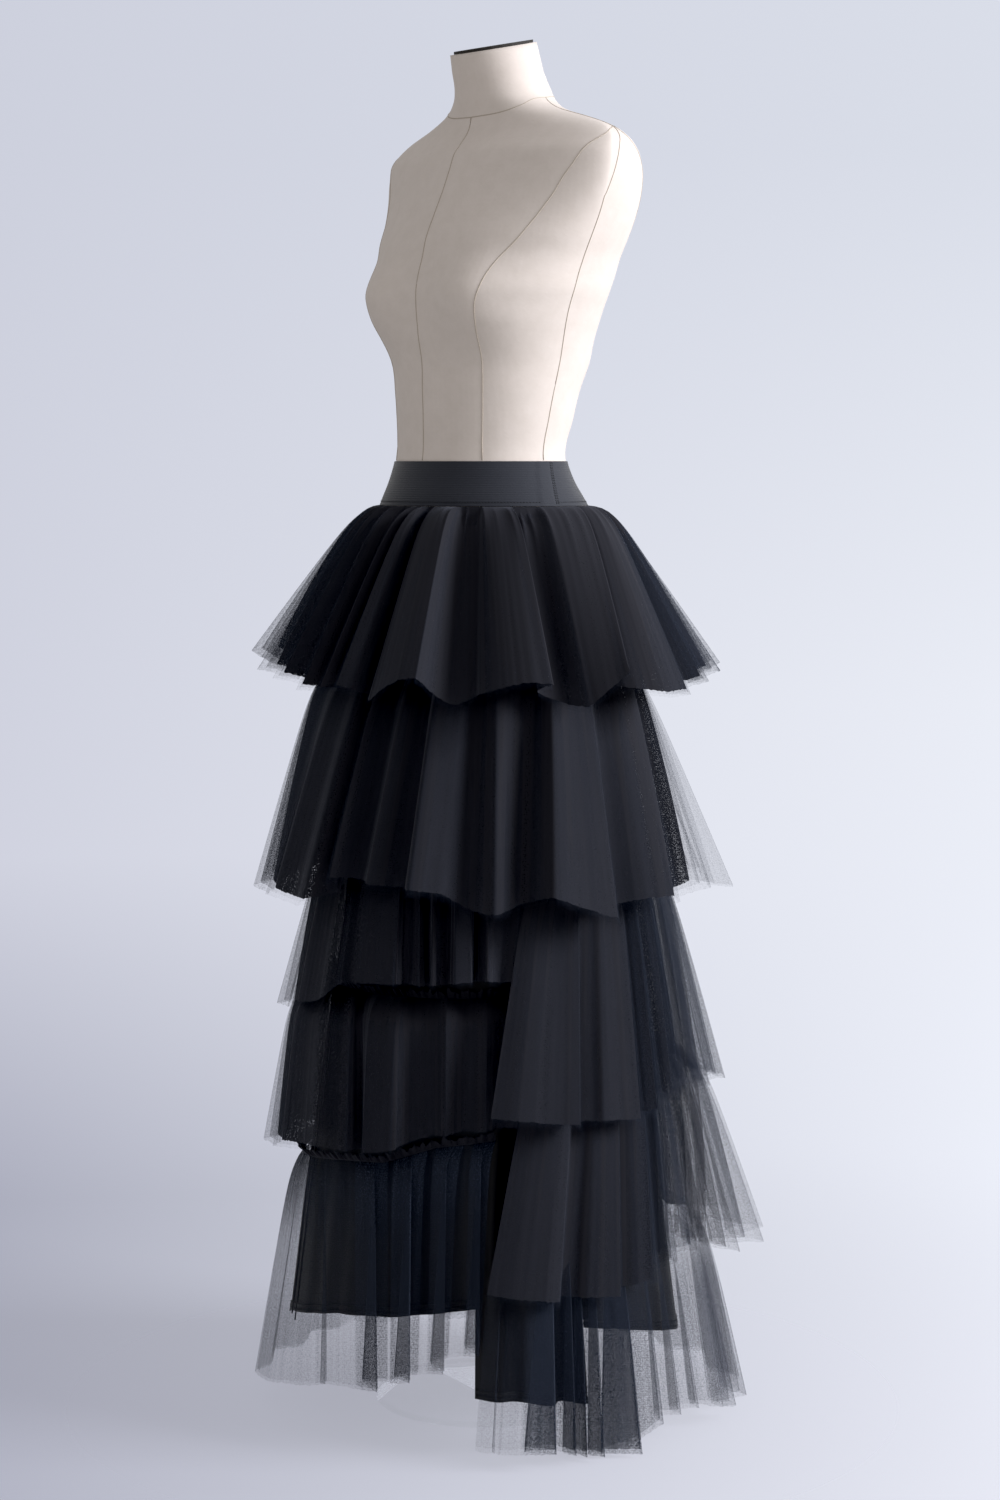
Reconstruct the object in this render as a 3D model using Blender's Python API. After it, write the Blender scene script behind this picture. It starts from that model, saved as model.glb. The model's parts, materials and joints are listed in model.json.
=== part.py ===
"""A five-tier tulle skirt on a limbless dress form with a pole stand.

Metres, +Z up. The origin is on the floor, on the pole's axis. The form faces -Y, and +X is the wearer's left.
A bearing is an angle round the pole, in degrees, from the front (-Y) towards the wearer's left (+X).
A drop is a distance below the top edge of the waistband.
"""

import math

import bpy
import numpy as np

# Driving dimensions
WAIST_HEIGHT = 1.095  # top edge of the waistband above the floor
BAND_DEPTH = 0.050
BAND_THICKNESS = 0.0015
CLOTH = 0.0012  # thickness of a tulle flounce or of the lining
SEAT_GAP = 0.0003  # between pieces that are sewn together
FORM_CLEARANCE = 0.0007  # between the form and the cloth on it

POLE_RADIUS = 0.008
BASE_RADIUS = 0.125
BASE_THICKNESS = 0.006
BASE_EDGE = 0.002
COLLAR_RADIUS = 0.022
COLLAR_HEIGHT = 0.030
COLLAR_CHAMFER = 0.004
NECK_SLOPE = 0.21  # the neck's top plane rises this much per metre towards the back
NECK_CENTRE_Y = 0.0176
NECK_HEIGHT = 0.4655  # above the waist, at the middle of the neck
NECK_RADIUS = 0.0490
CAP_THICKNESS = 0.003
CAP_INSET = 0.004  # from the neck's edge to the cap's

# The torso's level sections. Its front and back halves have their own reach and squareness.
TORSO_SECTIONS = [
    # height above waist, half width, centre y, front reach, back reach, front squareness, back squareness
    (-0.240, 0.150, 0.004, 0.104, 0.112, 2.3, 2.3),
    (-0.200, 0.160, 0.005, 0.113, 0.122, 2.3, 2.3),
    (-0.150, 0.160, 0.005, 0.117, 0.122, 2.2, 2.3),
    (-0.100, 0.147, 0.003, 0.115, 0.116, 2.1, 2.2),
    (-0.050, 0.129, 0.001, 0.106, 0.104, 2.0, 2.1),
    (-0.020, 0.115, 0.000, 0.095, 0.090, 2.0, 2.0),
    (0.000, 0.108, 0.000, 0.0905, 0.083, 2.0, 2.0),
    (0.050, 0.110, 0.005, 0.094, 0.092, 2.0, 2.0),
    (0.080, 0.114, 0.008, 0.098, 0.098, 2.0, 2.0),
    (0.110, 0.119, 0.0115, 0.102, 0.105, 2.0, 2.1),
    (0.140, 0.127, 0.012, 0.107, 0.109, 2.1, 2.1),
    (0.155, 0.132, 0.012, 0.108, 0.109, 2.2, 2.2),
    (0.172, 0.138, 0.012, 0.109, 0.110, 2.2, 2.3),
    (0.190, 0.145, 0.012, 0.109, 0.112, 2.2, 2.4),
    (0.208, 0.149, 0.013, 0.107, 0.115, 2.1, 2.5),
    (0.226, 0.154, 0.015, 0.104, 0.117, 2.0, 2.5),
    (0.248, 0.163, 0.017, 0.101, 0.118, 1.9, 2.6),
    (0.273, 0.172, 0.020, 0.093, 0.118, 1.7, 2.7),
    (0.300, 0.179, 0.023, 0.083, 0.115, 1.6, 2.8),
    (0.326, 0.183, 0.026, 0.075, 0.110, 1.6, 2.7),
    (0.345, 0.182, 0.028, 0.069, 0.104, 1.6, 2.5),
    (0.358, 0.176, 0.032, 0.062, 0.096, 1.5, 2.2),
    (0.370, 0.160, 0.037, 0.058, 0.084, 1.5, 1.9),
    (0.382, 0.126, 0.040, 0.057, 0.070, 1.6, 1.8),
    (0.394, 0.086, 0.036, 0.053, 0.064, 1.8, 1.8),
    (0.407, 0.062, 0.032, 0.051, 0.061, 2.0, 2.0),
    (0.420, 0.055, 0.030, 0.052, 0.058, 2.0, 2.0),
    (0.440, 0.0515, 0.024, 0.052, 0.053, 2.0, 2.0),
]
TORSO_COLUMNS = 48
BUST_HEIGHT = 0.182
BUST_SIDE = 0.078
BUST_REACH = 0.021
BUST_WIDTH = 0.046
BUST_TALL = 0.048

# The lining's outer surface, from the waistband to its hem. It follows the hips, then turns round.
LINING_SECTIONS = [
    # drop, half width, front reach, back reach
    (0.300, 0.160, 0.125, 0.132),
    (0.440, 0.160, 0.148, 0.152),
    (0.541, 0.166, 0.160, 0.164),
    (0.628, 0.178, 0.175, 0.178),
    (0.700, 0.188, 0.186, 0.189),
    (0.773, 0.199, 0.197, 0.200),
    (0.860, 0.212, 0.210, 0.213),
    (0.930, 0.221, 0.219, 0.222),
    (1.060, 0.237, 0.235, 0.238),
]

# Each lining panel: its first and last bearing, and its hem as (bearing, drop)
LINING_PANELS = {
    "lining_front": ((-40.0, 45.8), [(-40.0, 0.990), (0.0, 0.955), (20.0, 0.946), (45.8, 0.930)]),
    "lining_left": ((46.0, 77.8), [(46.0, 1.027), (60.0, 1.036), (77.8, 1.042)]),
    "lining_back": (
        (78.0, 319.8),
        [(78.0, 0.958), (90.0, 0.968), (138.0, 1.015), (180.0, 1.022), (270.0, 1.016), (319.8, 0.996)],
    ),
}
LINING_STEP = 6.0  # degrees between the columns of a lining panel
# the lining's rows above its hem
LINING_DROPS = (0.050, 0.100, 0.150, 0.200, 0.240, 0.300, 0.440, 0.580, 0.720, 0.860)
BAND_DROPS = (0.0, 0.020, BAND_DEPTH)
BAND_COLUMNS = 72

# The flounces. "seam" holds (bearing, drop, loft), where loft is how much of its reach the cloth springs out
# just below the seam, and "rows" how far along the cloth its rows lie.
# "hem" holds the hem's crests and valleys, each as (bearing, radius, drop, bearing at the seam), from one
# free edge to the other, or right round a closed flounce.
TIERS = {
    "tier_1": dict(
        closed=True,
        seam=[
            (-42, 0.0503, 0.11), (20, 0.0503, 0.16), (48, 0.0503, 0.17), (138, 0.0503, 0.13),
            (318, 0.0503, 0.11),
        ],
        rows=(0.0, 0.06, 0.30, 0.65, 1.0),
        hem=[
            (-41, 0.266, 0.217, -42), (-33, 0.230, 0.238, -36), (-26, 0.264, 0.234, -29),
            (-20, 0.222, 0.244, -23), (-14, 0.264, 0.240, -17), (-9, 0.216, 0.252, -13),
            (-2.5, 0.264, 0.250, -7), (3.5, 0.216, 0.248, 6), (9.5, 0.255, 0.249, 12),
            (16.5, 0.238, 0.265, 20), (29, 0.263, 0.238, 29), (41, 0.216, 0.268, 41),
            (50, 0.242, 0.252, 48.5), (60, 0.260, 0.242, 58), (67, 0.216, 0.260, 66),
            (77, 0.241, 0.271, 78), (84, 0.262, 0.235, 93), (88.5, 0.222, 0.250, 103),
            (93, 0.246, 0.254, 108), (106, 0.270, 0.257, 121), (111, 0.230, 0.259, 125),
            (118, 0.271, 0.246, 129), (123, 0.242, 0.250, 132), (130, 0.274, 0.238, 136),
            (135, 0.248, 0.242, 138), (140, 0.275, 0.232, 142), (149, 0.236, 0.256, 150),
            (158, 0.264, 0.240, 158), (166, 0.220, 0.262, 167), (176, 0.254, 0.243, 176),
            (187, 0.216, 0.262, 188), (197, 0.220, 0.266, 197), (207, 0.252, 0.243, 206),
            (217, 0.216, 0.260, 218), (230, 0.230, 0.268, 229), (240, 0.260, 0.238, 240),
            (247, 0.220, 0.262, 247), (257, 0.260, 0.242, 255), (264, 0.224, 0.258, 265),
            (273, 0.262, 0.240, 271), (281, 0.226, 0.252, 281), (290, 0.263, 0.236, 289),
            (298, 0.232, 0.244, 298), (306, 0.264, 0.228, 306), (312, 0.238, 0.236, 312),
        ],
    ),
    "tier_2": dict(
        closed=True,
        seam=[(-42, 0.215, 0.4), (48, 0.215, 0.3), (138, 0.215, 0.14), (318, 0.215, 0.4)],
        rows=(0.0, 0.08, 0.35, 0.68, 1.0),
        hem=[
            (-42, 0.266, 0.489, -42), (-31, 0.249, 0.492, -31), (-20, 0.263, 0.486, -18),
            (-10, 0.254, 0.490, -11), (-4, 0.262, 0.489, -6), (1, 0.222, 0.482, 0),
            (6.5, 0.262, 0.462, 6), (11, 0.224, 0.465, 13), (18, 0.252, 0.466, 22),
            (24.5, 0.222, 0.470, 29), (29.5, 0.268, 0.467, 35), (37, 0.246, 0.474, 43),
            (43, 0.222, 0.491, 49), (51, 0.256, 0.494, 55), (58.5, 0.222, 0.488, 68),
            (64, 0.269, 0.475, 76), (75, 0.262, 0.492, 82), (82, 0.263, 0.502, 86),
            (87, 0.228, 0.494, 95), (103, 0.269, 0.487, 118), (107, 0.252, 0.486, 122),
            (112, 0.284, 0.475, 126), (120, 0.270, 0.478, 130), (130, 0.290, 0.486, 135),
            (139, 0.288, 0.490, 140), (148, 0.264, 0.492, 148), (158, 0.277, 0.482, 158),
            (167, 0.250, 0.492, 168), (178, 0.262, 0.484, 176), (188, 0.242, 0.490, 190),
            (200, 0.244, 0.494, 201), (212, 0.264, 0.480, 211), (220, 0.240, 0.490, 221),
            (232, 0.256, 0.486, 230), (244, 0.242, 0.488, 245), (256, 0.246, 0.492, 256),
            (267, 0.268, 0.480, 266), (276, 0.246, 0.488, 277), (287, 0.268, 0.482, 286),
            (295, 0.247, 0.490, 295), (303, 0.266, 0.486, 303), (311, 0.250, 0.490, 311),
        ],
    ),
    "tier_3_front": dict(
        seam=[(0, 0.44, 0.36)],
        rows=(0.0, 0.10, 0.50, 1.0),
        hem=[
            (-89.6, 0.240, 0.634, -89.6), (-80, 0.242, 0.630, -80), (-71, 0.226, 0.634, -72),
            (-61, 0.241, 0.630, -62), (-51, 0.228, 0.632, -52), (-41, 0.239, 0.627, -44),
            (-31, 0.227, 0.624, -38), (-20, 0.238, 0.616, -30), (-8, 0.231, 0.607, -21),
            (14, 0.236, 0.577, 0), (25, 0.214, 0.576, 16), (34, 0.233, 0.574, 28),
            (45.5, 0.204, 0.572, 46), (51, 0.228, 0.570, 53), (61.5, 0.220, 0.572, 75),
        ],
    ),
    "tier_4_front": dict(
        seam=[(-90, 0.6, 0.52), (-25, 0.595, 0.6), (40, 0.592, 0.62), (65, 0.588, 0.55)],
        rows=(0.0, 0.10, 0.50, 1.0),
        hem=[
            (-89.6, 0.254, 0.795, -89.6), (-80, 0.258, 0.790, -80), (-71, 0.240, 0.795, -71),
            (-61, 0.257, 0.790, -61), (-51, 0.243, 0.793, -53), (-41, 0.256, 0.788, -45),
            (-32, 0.242, 0.786, -39), (-22, 0.254, 0.777, -34), (-12, 0.245, 0.772, -29),
            (2, 0.254, 0.765, -22), (12, 0.228, 0.764, -3), (24, 0.250, 0.757, 17),
            (34, 0.220, 0.743, 30), (42, 0.216, 0.738, 42), (49, 0.230, 0.736, 50),
            (58, 0.222, 0.734, 70),
        ],
    ),
    "tier_5_front": dict(
        seam=[
            (-90, 0.802, 0.25), (-27, 0.796, 0.26), (0, 0.782, 0.32), (15, 0.777, 0.36), (33, 0.755, 0.38),
            (60, 0.742, 0.36),
        ],
        rows=(0.0, 0.10, 0.50, 1.0),
        hem=[
            (-89.6, 0.265, 1.074, -89.6), (-81, 0.272, 1.070, -82), (-72, 0.254, 1.074, -73),
            (-62, 0.270, 1.070, -62), (-52, 0.256, 1.072, -54), (-41, 0.268, 1.066, -44),
            (-29, 0.258, 1.060, -38), (-12, 0.264, 1.040, -30), (4, 0.252, 1.026, -15),
            (10, 0.262, 1.020, -5), (16, 0.251, 1.014, 13), (25, 0.256, 1.008, 19),
            (30.5, 0.242, 1.000, 30), (38.5, 0.260, 0.992, 37), (47.4, 0.246, 0.966, 52.5),
        ],
    ),
    "tier_3_back": dict(
        seam=[(0, 0.44, 0.38)],
        rows=(0.0, 0.10, 0.50, 1.0),
        hem=[
            (50, 0.257, 0.716, 77), (66, 0.262, 0.724, 85), (73, 0.238, 0.727, 91),
            (80, 0.254, 0.728, 98), (86, 0.258, 0.729, 101), (91, 0.242, 0.729, 106),
            (97, 0.269, 0.724, 110), (106, 0.256, 0.706, 119), (113, 0.283, 0.700, 124),
            (126, 0.285, 0.704, 133), (132, 0.268, 0.708, 137), (140, 0.282, 0.714, 142),
            (149, 0.258, 0.718, 149), (159, 0.272, 0.714, 158), (168, 0.250, 0.720, 168),
            (178, 0.268, 0.716, 177), (186, 0.246, 0.720, 187), (197, 0.264, 0.714, 196),
            (206, 0.244, 0.718, 206), (217, 0.262, 0.712, 216), (227, 0.244, 0.716, 227),
            (238, 0.260, 0.710, 238), (248, 0.243, 0.714, 248), (259, 0.259, 0.708, 259),
            (269.6, 0.240, 0.712, 269.6),
        ],
    ),
    "tier_4_back": dict(
        seam=[(0, 0.665, 0.42)],
        rows=(0.0, 0.10, 0.50, 1.0),
        hem=[
            (49, 0.267, 0.908, 75), (55, 0.273, 0.912, 78), (68, 0.262, 0.919, 88),
            (82, 0.277, 0.921, 101), (92.5, 0.262, 0.902, 111), (98, 0.283, 0.888, 115),
            (108, 0.266, 0.878, 122), (114, 0.318, 0.890, 128), (119, 0.286, 0.890, 131),
            (125, 0.332, 0.893, 134), (132, 0.302, 0.895, 137), (139, 0.330, 0.896, 141),
            (148, 0.298, 0.900, 147), (157, 0.312, 0.896, 156), (166, 0.280, 0.903, 166),
            (177, 0.294, 0.898, 176), (186, 0.268, 0.904, 186), (197, 0.284, 0.900, 196),
            (206, 0.262, 0.904, 207), (218, 0.280, 0.898, 217), (228, 0.262, 0.902, 228),
            (239, 0.276, 0.896, 239), (249, 0.262, 0.900, 249), (260, 0.273, 0.894, 260),
            (269.6, 0.254, 0.896, 269.6),
        ],
    ),
    "tier_5_back": dict(
        seam=[(0, 0.856, 0.44)],
        rows=(0.0, 0.10, 0.50, 1.0),
        hem=[
            (46.3, 0.276, 1.072, 53.5), (57.5, 0.286, 1.074, 63), (64, 0.268, 1.076, 71),
            (69, 0.286, 1.080, 73), (74, 0.264, 1.088, 82), (85.3, 0.292, 1.090, 87),
            (94, 0.268, 1.062, 99), (99, 0.270, 1.060, 106), (104, 0.293, 1.060, 108),
            (114, 0.300, 1.072, 116), (121, 0.276, 1.082, 125), (130, 0.311, 1.083, 131),
            (135, 0.284, 1.085, 136), (143, 0.306, 1.083, 143), (152, 0.282, 1.087, 152),
            (163, 0.299, 1.082, 162), (172, 0.274, 1.087, 172), (183, 0.292, 1.082, 182),
            (193, 0.270, 1.086, 193), (204, 0.287, 1.080, 203), (214, 0.267, 1.084, 214),
            (225, 0.284, 1.077, 225), (235, 0.265, 1.081, 235), (246, 0.280, 1.073, 246),
            (256, 0.263, 1.077, 257), (264, 0.274, 1.071, 264), (269.6, 0.265, 1.072, 269.6),
        ],
    ),
}
COLUMNS_PER_SIDE = 3  # from a crest to the next valley
FOLD_GROWTH = 0.42  # power of the share along the cloth; below 1, folds are deep soon below the seam
MEAN_SPREAD = 22.0  # degrees of the hem over which its mean radius is taken
LOFT_LENGTH = 0.06  # share of a flounce's length over which it springs away from its seam
STEEPEST_WALL = 0.60  # the least share of a wall's level width that is its thickness
FULL_TURN = (360.0, 0.0, 0.0, 360.0)


# Materials

def make_material(name, colour, roughness, metallic=0.0):
    material = bpy.data.materials.new(name)
    material.use_nodes = True
    shader = material.node_tree.nodes["Principled BSDF"]
    shader.inputs["Base Color"].default_value = (*colour, 1.0)
    shader.inputs["Roughness"].default_value = roughness
    shader.inputs["Metallic"].default_value = metallic
    return material


# Mesh helpers

def add_object(name, points, faces, material):
    mesh = bpy.data.meshes.new(name)
    mesh.from_pydata([tuple(point) for point in points], [], faces)
    mesh.update()
    mesh.shade_smooth()
    mesh.set_sharp_from_angle(angle=math.radians(50))
    mesh.materials.append(material)
    node = bpy.data.objects.new(name, mesh)
    bpy.context.scene.collection.objects.link(node)
    return node


def wall_between(outer, inner, closed):
    """Points and faces of the wall between two grids of points, rows from top to bottom and columns round."""
    rows, columns, _ = outer.shape
    points = np.concatenate([outer.reshape(-1, 3), inner.reshape(-1, 3)])
    inside = rows * columns
    faces = []
    last = columns if closed else columns - 1
    for column in range(last):
        right = (column + 1) % columns
        for row in range(rows - 1):
            top, low = row * columns, (row + 1) * columns
            faces.append((top + column, low + column, low + right, top + right))
            faces.append(
                (inside + top + column, inside + top + right, inside + low + right, inside + low + column)
            )
        hem = (rows - 1) * columns
        faces.append((column, right, inside + right, inside + column))
        faces.append((hem + right, hem + column, inside + hem + column, inside + hem + right))
    if not closed:
        for row in range(rows - 1):
            top, low = row * columns, (row + 1) * columns
            faces.append((top, inside + top, inside + low, low))
            end = columns - 1
            faces.append((top + end, low + end, inside + low + end, inside + top + end))
    return points, faces


def moved_inward(grid, distance, closed):
    """The grid moved level towards its inner side, so that the wall between them is that thick."""
    if closed:
        around = np.roll(grid, -1, axis=1) - np.roll(grid, 1, axis=1)
    else:
        around = np.gradient(grid, axis=1)
    down = np.gradient(grid, axis=0)
    normal = np.cross(down, around)
    normal /= np.linalg.norm(normal, axis=2, keepdims=True)
    normal[:, :, 2] = 0.0
    level = np.linalg.norm(normal, axis=2, keepdims=True)
    return grid - normal / level * distance / np.maximum(level, STEEPEST_WALL)


def table_value(table, at, column=1):
    """A column of a table at a value of its first, straight between its rows."""
    return np.interp(at, [row[0] for row in table], [row[column] for row in table])


# The torso

def torso_section(height):
    return [float(table_value(TORSO_SECTIONS, height, column)) for column in range(1, 7)]


def torso_point(height, angle):
    """A point on the torso's surface at an angle round its section, from +X towards +Y."""
    width, centre, front, back, front_square, back_square = torso_section(height)
    across, along = math.cos(angle), math.sin(angle)
    reach, square = (back, back_square) if along >= 0 else (front, front_square)
    x = width * math.copysign(abs(across) ** (2 / square), across)
    y = reach * math.copysign(abs(along) ** (2 / square), along) + centre
    if along < 0 and height > 0:
        for side in (-1, 1):
            off_side = (x - side * BUST_SIDE) / BUST_WIDTH
            off_height = (height - BUST_HEIGHT) / BUST_TALL
            y -= BUST_REACH * math.exp(-(off_side**2) - off_height**2) * min(1.0, -along * 2)
    return x, y, WAIST_HEIGHT + height


def neck_top_point(angle, inset=0.0, raised=0.0):
    radius = NECK_RADIUS - inset
    x, y = radius * math.cos(angle), radius * math.sin(angle) + NECK_CENTRE_Y
    return x, y, WAIST_HEIGHT + NECK_HEIGHT + NECK_SLOPE * (y - NECK_CENTRE_Y) + raised


def closed_stack(rings):
    """Points and faces of a solid through level rings, listed from bottom to top, with flat ends."""
    columns = len(rings[0])
    points = [point for ring in rings for point in ring]
    faces = [tuple(reversed(range(columns)))]
    for row in range(len(rings) - 1):
        low, high = row * columns, (row + 1) * columns
        for column in range(columns):
            right = (column + 1) % columns
            faces.append((low + column, low + right, high + right, high + column))
    faces.append(tuple((len(rings) - 1) * columns + column for column in range(columns)))
    return points, faces


def ring_angles(columns):
    return [2 * math.pi * column / columns for column in range(columns)]


def build_torso(linen):
    rings = []
    for section in TORSO_SECTIONS:
        rings.append([torso_point(section[0], angle) for angle in ring_angles(TORSO_COLUMNS)])
    rings.append([neck_top_point(angle) for angle in ring_angles(TORSO_COLUMNS)])
    return add_object("form_torso", *closed_stack(rings), linen)


def build_neck_cap(dark):
    rings = []
    for raised in (SEAT_GAP, SEAT_GAP + CAP_THICKNESS):
        rings.append([neck_top_point(angle, CAP_INSET, raised) for angle in ring_angles(24)])
    return add_object("form_neck_cap", *closed_stack(rings), dark)


def build_stand(glass, steel):
    def turned(name, profile, columns, material):
        rings = []
        for radius, height in profile:
            rings.append(
                [
                    (radius * math.cos(angle), radius * math.sin(angle), height)
                    for angle in ring_angles(columns)
                ]
            )
        add_object(name, *closed_stack(rings), material)

    torso_bottom = WAIST_HEIGHT + TORSO_SECTIONS[0][0]
    turned(
        "stand_base",
        [
            (BASE_RADIUS, 0.0),
            (BASE_RADIUS, BASE_THICKNESS - BASE_EDGE),
            (BASE_RADIUS - BASE_EDGE, BASE_THICKNESS),
        ],
        48,
        glass,
    )
    collar_bottom = torso_bottom - SEAT_GAP - COLLAR_HEIGHT
    turned(
        "stand_pole",
        [(POLE_RADIUS, BASE_THICKNESS + SEAT_GAP), (POLE_RADIUS, collar_bottom - SEAT_GAP)],
        16,
        steel,
    )
    turned(
        "stand_collar",
        [
            (COLLAR_RADIUS - COLLAR_CHAMFER, collar_bottom),
            (COLLAR_RADIUS, collar_bottom + COLLAR_CHAMFER),
            (COLLAR_RADIUS, torso_bottom - SEAT_GAP),
        ],
        24,
        steel,
    )


# The cloth

def direction(bearing):
    return math.sin(math.radians(bearing)), -math.cos(math.radians(bearing))


def oval_radius(bearing, width, front, back):
    """Distance from the pole to an oval with those reaches, along a bearing."""
    across, along = direction(bearing)
    reach = back if along > 0 else front
    return 1 / math.sqrt((across / width) ** 2 + (along / reach) ** 2)


def form_radius(bearing, drop, outset):
    """Distance from the pole to the torso's surface, or outset from it, along a bearing below the waist."""
    width, centre, front, back, front_square, back_square = torso_section(-drop)
    across, along = direction(bearing)
    low, high = 0.0, 0.4
    for _ in range(30):
        radius = (low + high) / 2
        x, y = radius * across, radius * along - centre
        reach, square = (back, back_square) if y > 0 else (front, front_square)
        share = abs(x / (width + outset)) ** square + abs(y / (reach + outset)) ** square
        low, high = (radius, high) if share < 1 else (low, radius)
    return (low + high) / 2


def lining_radius(bearing, drop):
    """The lining's outer surface: on the form down to the hips, then free."""
    on_form_until, free_from = -TORSO_SECTIONS[0][0], LINING_SECTIONS[0][0]
    if drop <= on_form_until:
        return form_radius(bearing, drop, FORM_CLEARANCE + CLOTH)
    free_radius = oval_radius(bearing, *(table_value(LINING_SECTIONS, drop, column) for column in (1, 2, 3)))
    if drop >= free_from:
        return free_radius
    share = (drop - on_form_until) / (free_from - on_form_until)
    return form_radius(bearing, on_form_until, FORM_CLEARANCE + CLOTH) * (1 - share) + free_radius * share


def point_at(bearing, radius, drop):
    across, along = direction(bearing)
    return radius * across, radius * along, WAIST_HEIGHT - drop


def build_waistband(elastic):
    outer = np.zeros((len(BAND_DROPS), BAND_COLUMNS, 3))
    for row, drop in enumerate(BAND_DROPS):
        for column in range(BAND_COLUMNS):
            bearing = 360.0 * column / BAND_COLUMNS
            radius = form_radius(bearing, drop, FORM_CLEARANCE + BAND_THICKNESS)
            outer[row, column] = point_at(bearing, radius, drop)
    points, faces = wall_between(outer, moved_inward(outer, BAND_THICKNESS, True), True)
    add_object("waistband", points, faces, elastic)


def build_lining(name, span, hem, satin):
    first, last = span
    columns = round((last - first) / LINING_STEP) + 1
    outer = np.zeros((len(LINING_DROPS) + 1, columns, 3))
    for column, bearing in enumerate(np.linspace(first, last, columns)):
        for row, drop in enumerate([*LINING_DROPS, table_value(hem, bearing)]):
            if row == 0:
                drop += SEAT_GAP
            outer[row, column] = point_at(bearing, lining_radius(bearing, drop), drop)
    points, faces = wall_between(outer, moved_inward(outer, CLOTH, False), False)
    add_object(name, points, faces, satin)


def hem_columns(hem, closed):
    """The hem at each column, as (bearing, radius, drop, bearing at the seam), round between its corners."""
    corners = np.array(hem)
    if closed:
        corners = np.concatenate([corners, corners[:1] + FULL_TURN])
    columns = []
    for near, far in zip(corners, corners[1:]):
        for step in range(COLUMNS_PER_SIDE):
            share = step / COLUMNS_PER_SIDE
            eased = (1 - math.cos(math.pi * share)) / 2
            columns.append(near + (far - near) * (share, eased, eased, share))
    if not closed:
        columns.append(corners[-1])
    return np.array(columns)


def mean_radii(columns, closed):
    """The hem's radius at each column, evened out over a few folds."""
    away = columns[:, None, 0] - columns[None, :, 0]
    if closed:
        away = (away + 180) % 360 - 180
    weights = np.exp(-((away / MEAN_SPREAD) ** 2))
    return weights @ columns[:, 1] / weights.sum(axis=1)


def build_flounce(name, seam, rows, hem, tulle, closed=False):
    """A gathered flounce sewn on the lining: it springs out at its seam and opens into folds to its hem."""
    columns = hem_columns(hem, closed)
    outer = np.zeros((len(rows), len(columns), 3))
    for column, (place, mean_radius) in enumerate(zip(columns, mean_radii(columns, closed))):
        hem_bearing, hem_radius, hem_drop, seam_bearing = place
        seam_drop, loft = table_value(seam, seam_bearing), table_value(seam, seam_bearing, 2)
        seat = lining_radius(seam_bearing, seam_drop) + SEAT_GAP + CLOTH / STEEPEST_WALL
        for row, share in enumerate(rows):
            bearing = seam_bearing + (hem_bearing - seam_bearing) * share
            sprung = loft * (1 - math.exp(-share / LOFT_LENGTH)) + (1 - loft) * share
            radius = seat + (mean_radius - seat) * sprung + (hem_radius - mean_radius) * share**FOLD_GROWTH
            drop = seam_drop + (hem_drop - seam_drop) * share
            outer[row, column] = point_at(bearing, radius, drop)
    points, faces = wall_between(outer, moved_inward(outer, CLOTH, closed), closed)
    add_object(name, points, faces, tulle)


def main():
    for old in list(bpy.data.objects):
        bpy.data.objects.remove(old)
    linen = make_material("linen_cover", (0.80, 0.74, 0.66), 0.85)
    dark = make_material("neck_cap_board", (0.05, 0.045, 0.04), 0.60)
    glass = make_material("tempered_glass", (0.80, 0.86, 0.86), 0.05)
    steel = make_material("powder_coated_steel", (0.72, 0.73, 0.76), 0.45)
    elastic = make_material("woven_elastic", (0.022, 0.024, 0.030), 0.70)
    satin = make_material("lining_satin", (0.010, 0.010, 0.013), 0.55)
    tulle = make_material("nylon_tulle", (0.016, 0.017, 0.024), 0.80)
    build_torso(linen)
    build_neck_cap(dark)
    build_stand(glass, steel)
    build_waistband(elastic)
    for name, (span, hem) in LINING_PANELS.items():
        build_lining(name, span, hem, satin)
    for name, tier in TIERS.items():
        build_flounce(name, tulle=tulle, **tier)


main()
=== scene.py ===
import json
import math

import bpy
import numpy as np
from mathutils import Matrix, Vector

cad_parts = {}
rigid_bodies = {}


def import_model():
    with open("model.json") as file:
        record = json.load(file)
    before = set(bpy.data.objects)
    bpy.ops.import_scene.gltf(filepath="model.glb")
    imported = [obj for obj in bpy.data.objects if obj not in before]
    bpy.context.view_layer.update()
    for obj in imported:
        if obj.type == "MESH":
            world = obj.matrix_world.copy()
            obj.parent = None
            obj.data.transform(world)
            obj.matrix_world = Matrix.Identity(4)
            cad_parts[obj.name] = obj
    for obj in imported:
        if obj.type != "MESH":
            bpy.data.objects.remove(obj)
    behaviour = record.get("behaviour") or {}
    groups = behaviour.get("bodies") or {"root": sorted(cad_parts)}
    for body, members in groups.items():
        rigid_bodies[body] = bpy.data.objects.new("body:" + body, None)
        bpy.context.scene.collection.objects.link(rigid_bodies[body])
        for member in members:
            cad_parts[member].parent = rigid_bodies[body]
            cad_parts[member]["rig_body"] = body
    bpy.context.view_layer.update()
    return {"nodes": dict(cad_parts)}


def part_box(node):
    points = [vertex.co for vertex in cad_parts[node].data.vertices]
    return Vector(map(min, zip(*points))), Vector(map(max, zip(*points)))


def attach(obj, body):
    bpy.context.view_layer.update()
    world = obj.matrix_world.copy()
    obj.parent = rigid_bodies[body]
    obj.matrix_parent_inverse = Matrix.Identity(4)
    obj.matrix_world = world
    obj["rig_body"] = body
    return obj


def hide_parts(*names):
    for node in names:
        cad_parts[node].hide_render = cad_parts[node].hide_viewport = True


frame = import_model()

# A five-tier tulle skirt on a dress form. Metres, +Z up, the form faces -Y, and +X is the wearer's left.
# A bearing is an angle round the pole in degrees, from the front towards the wearer's left.
# A drop is a distance below the top edge of the waistband.

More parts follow.
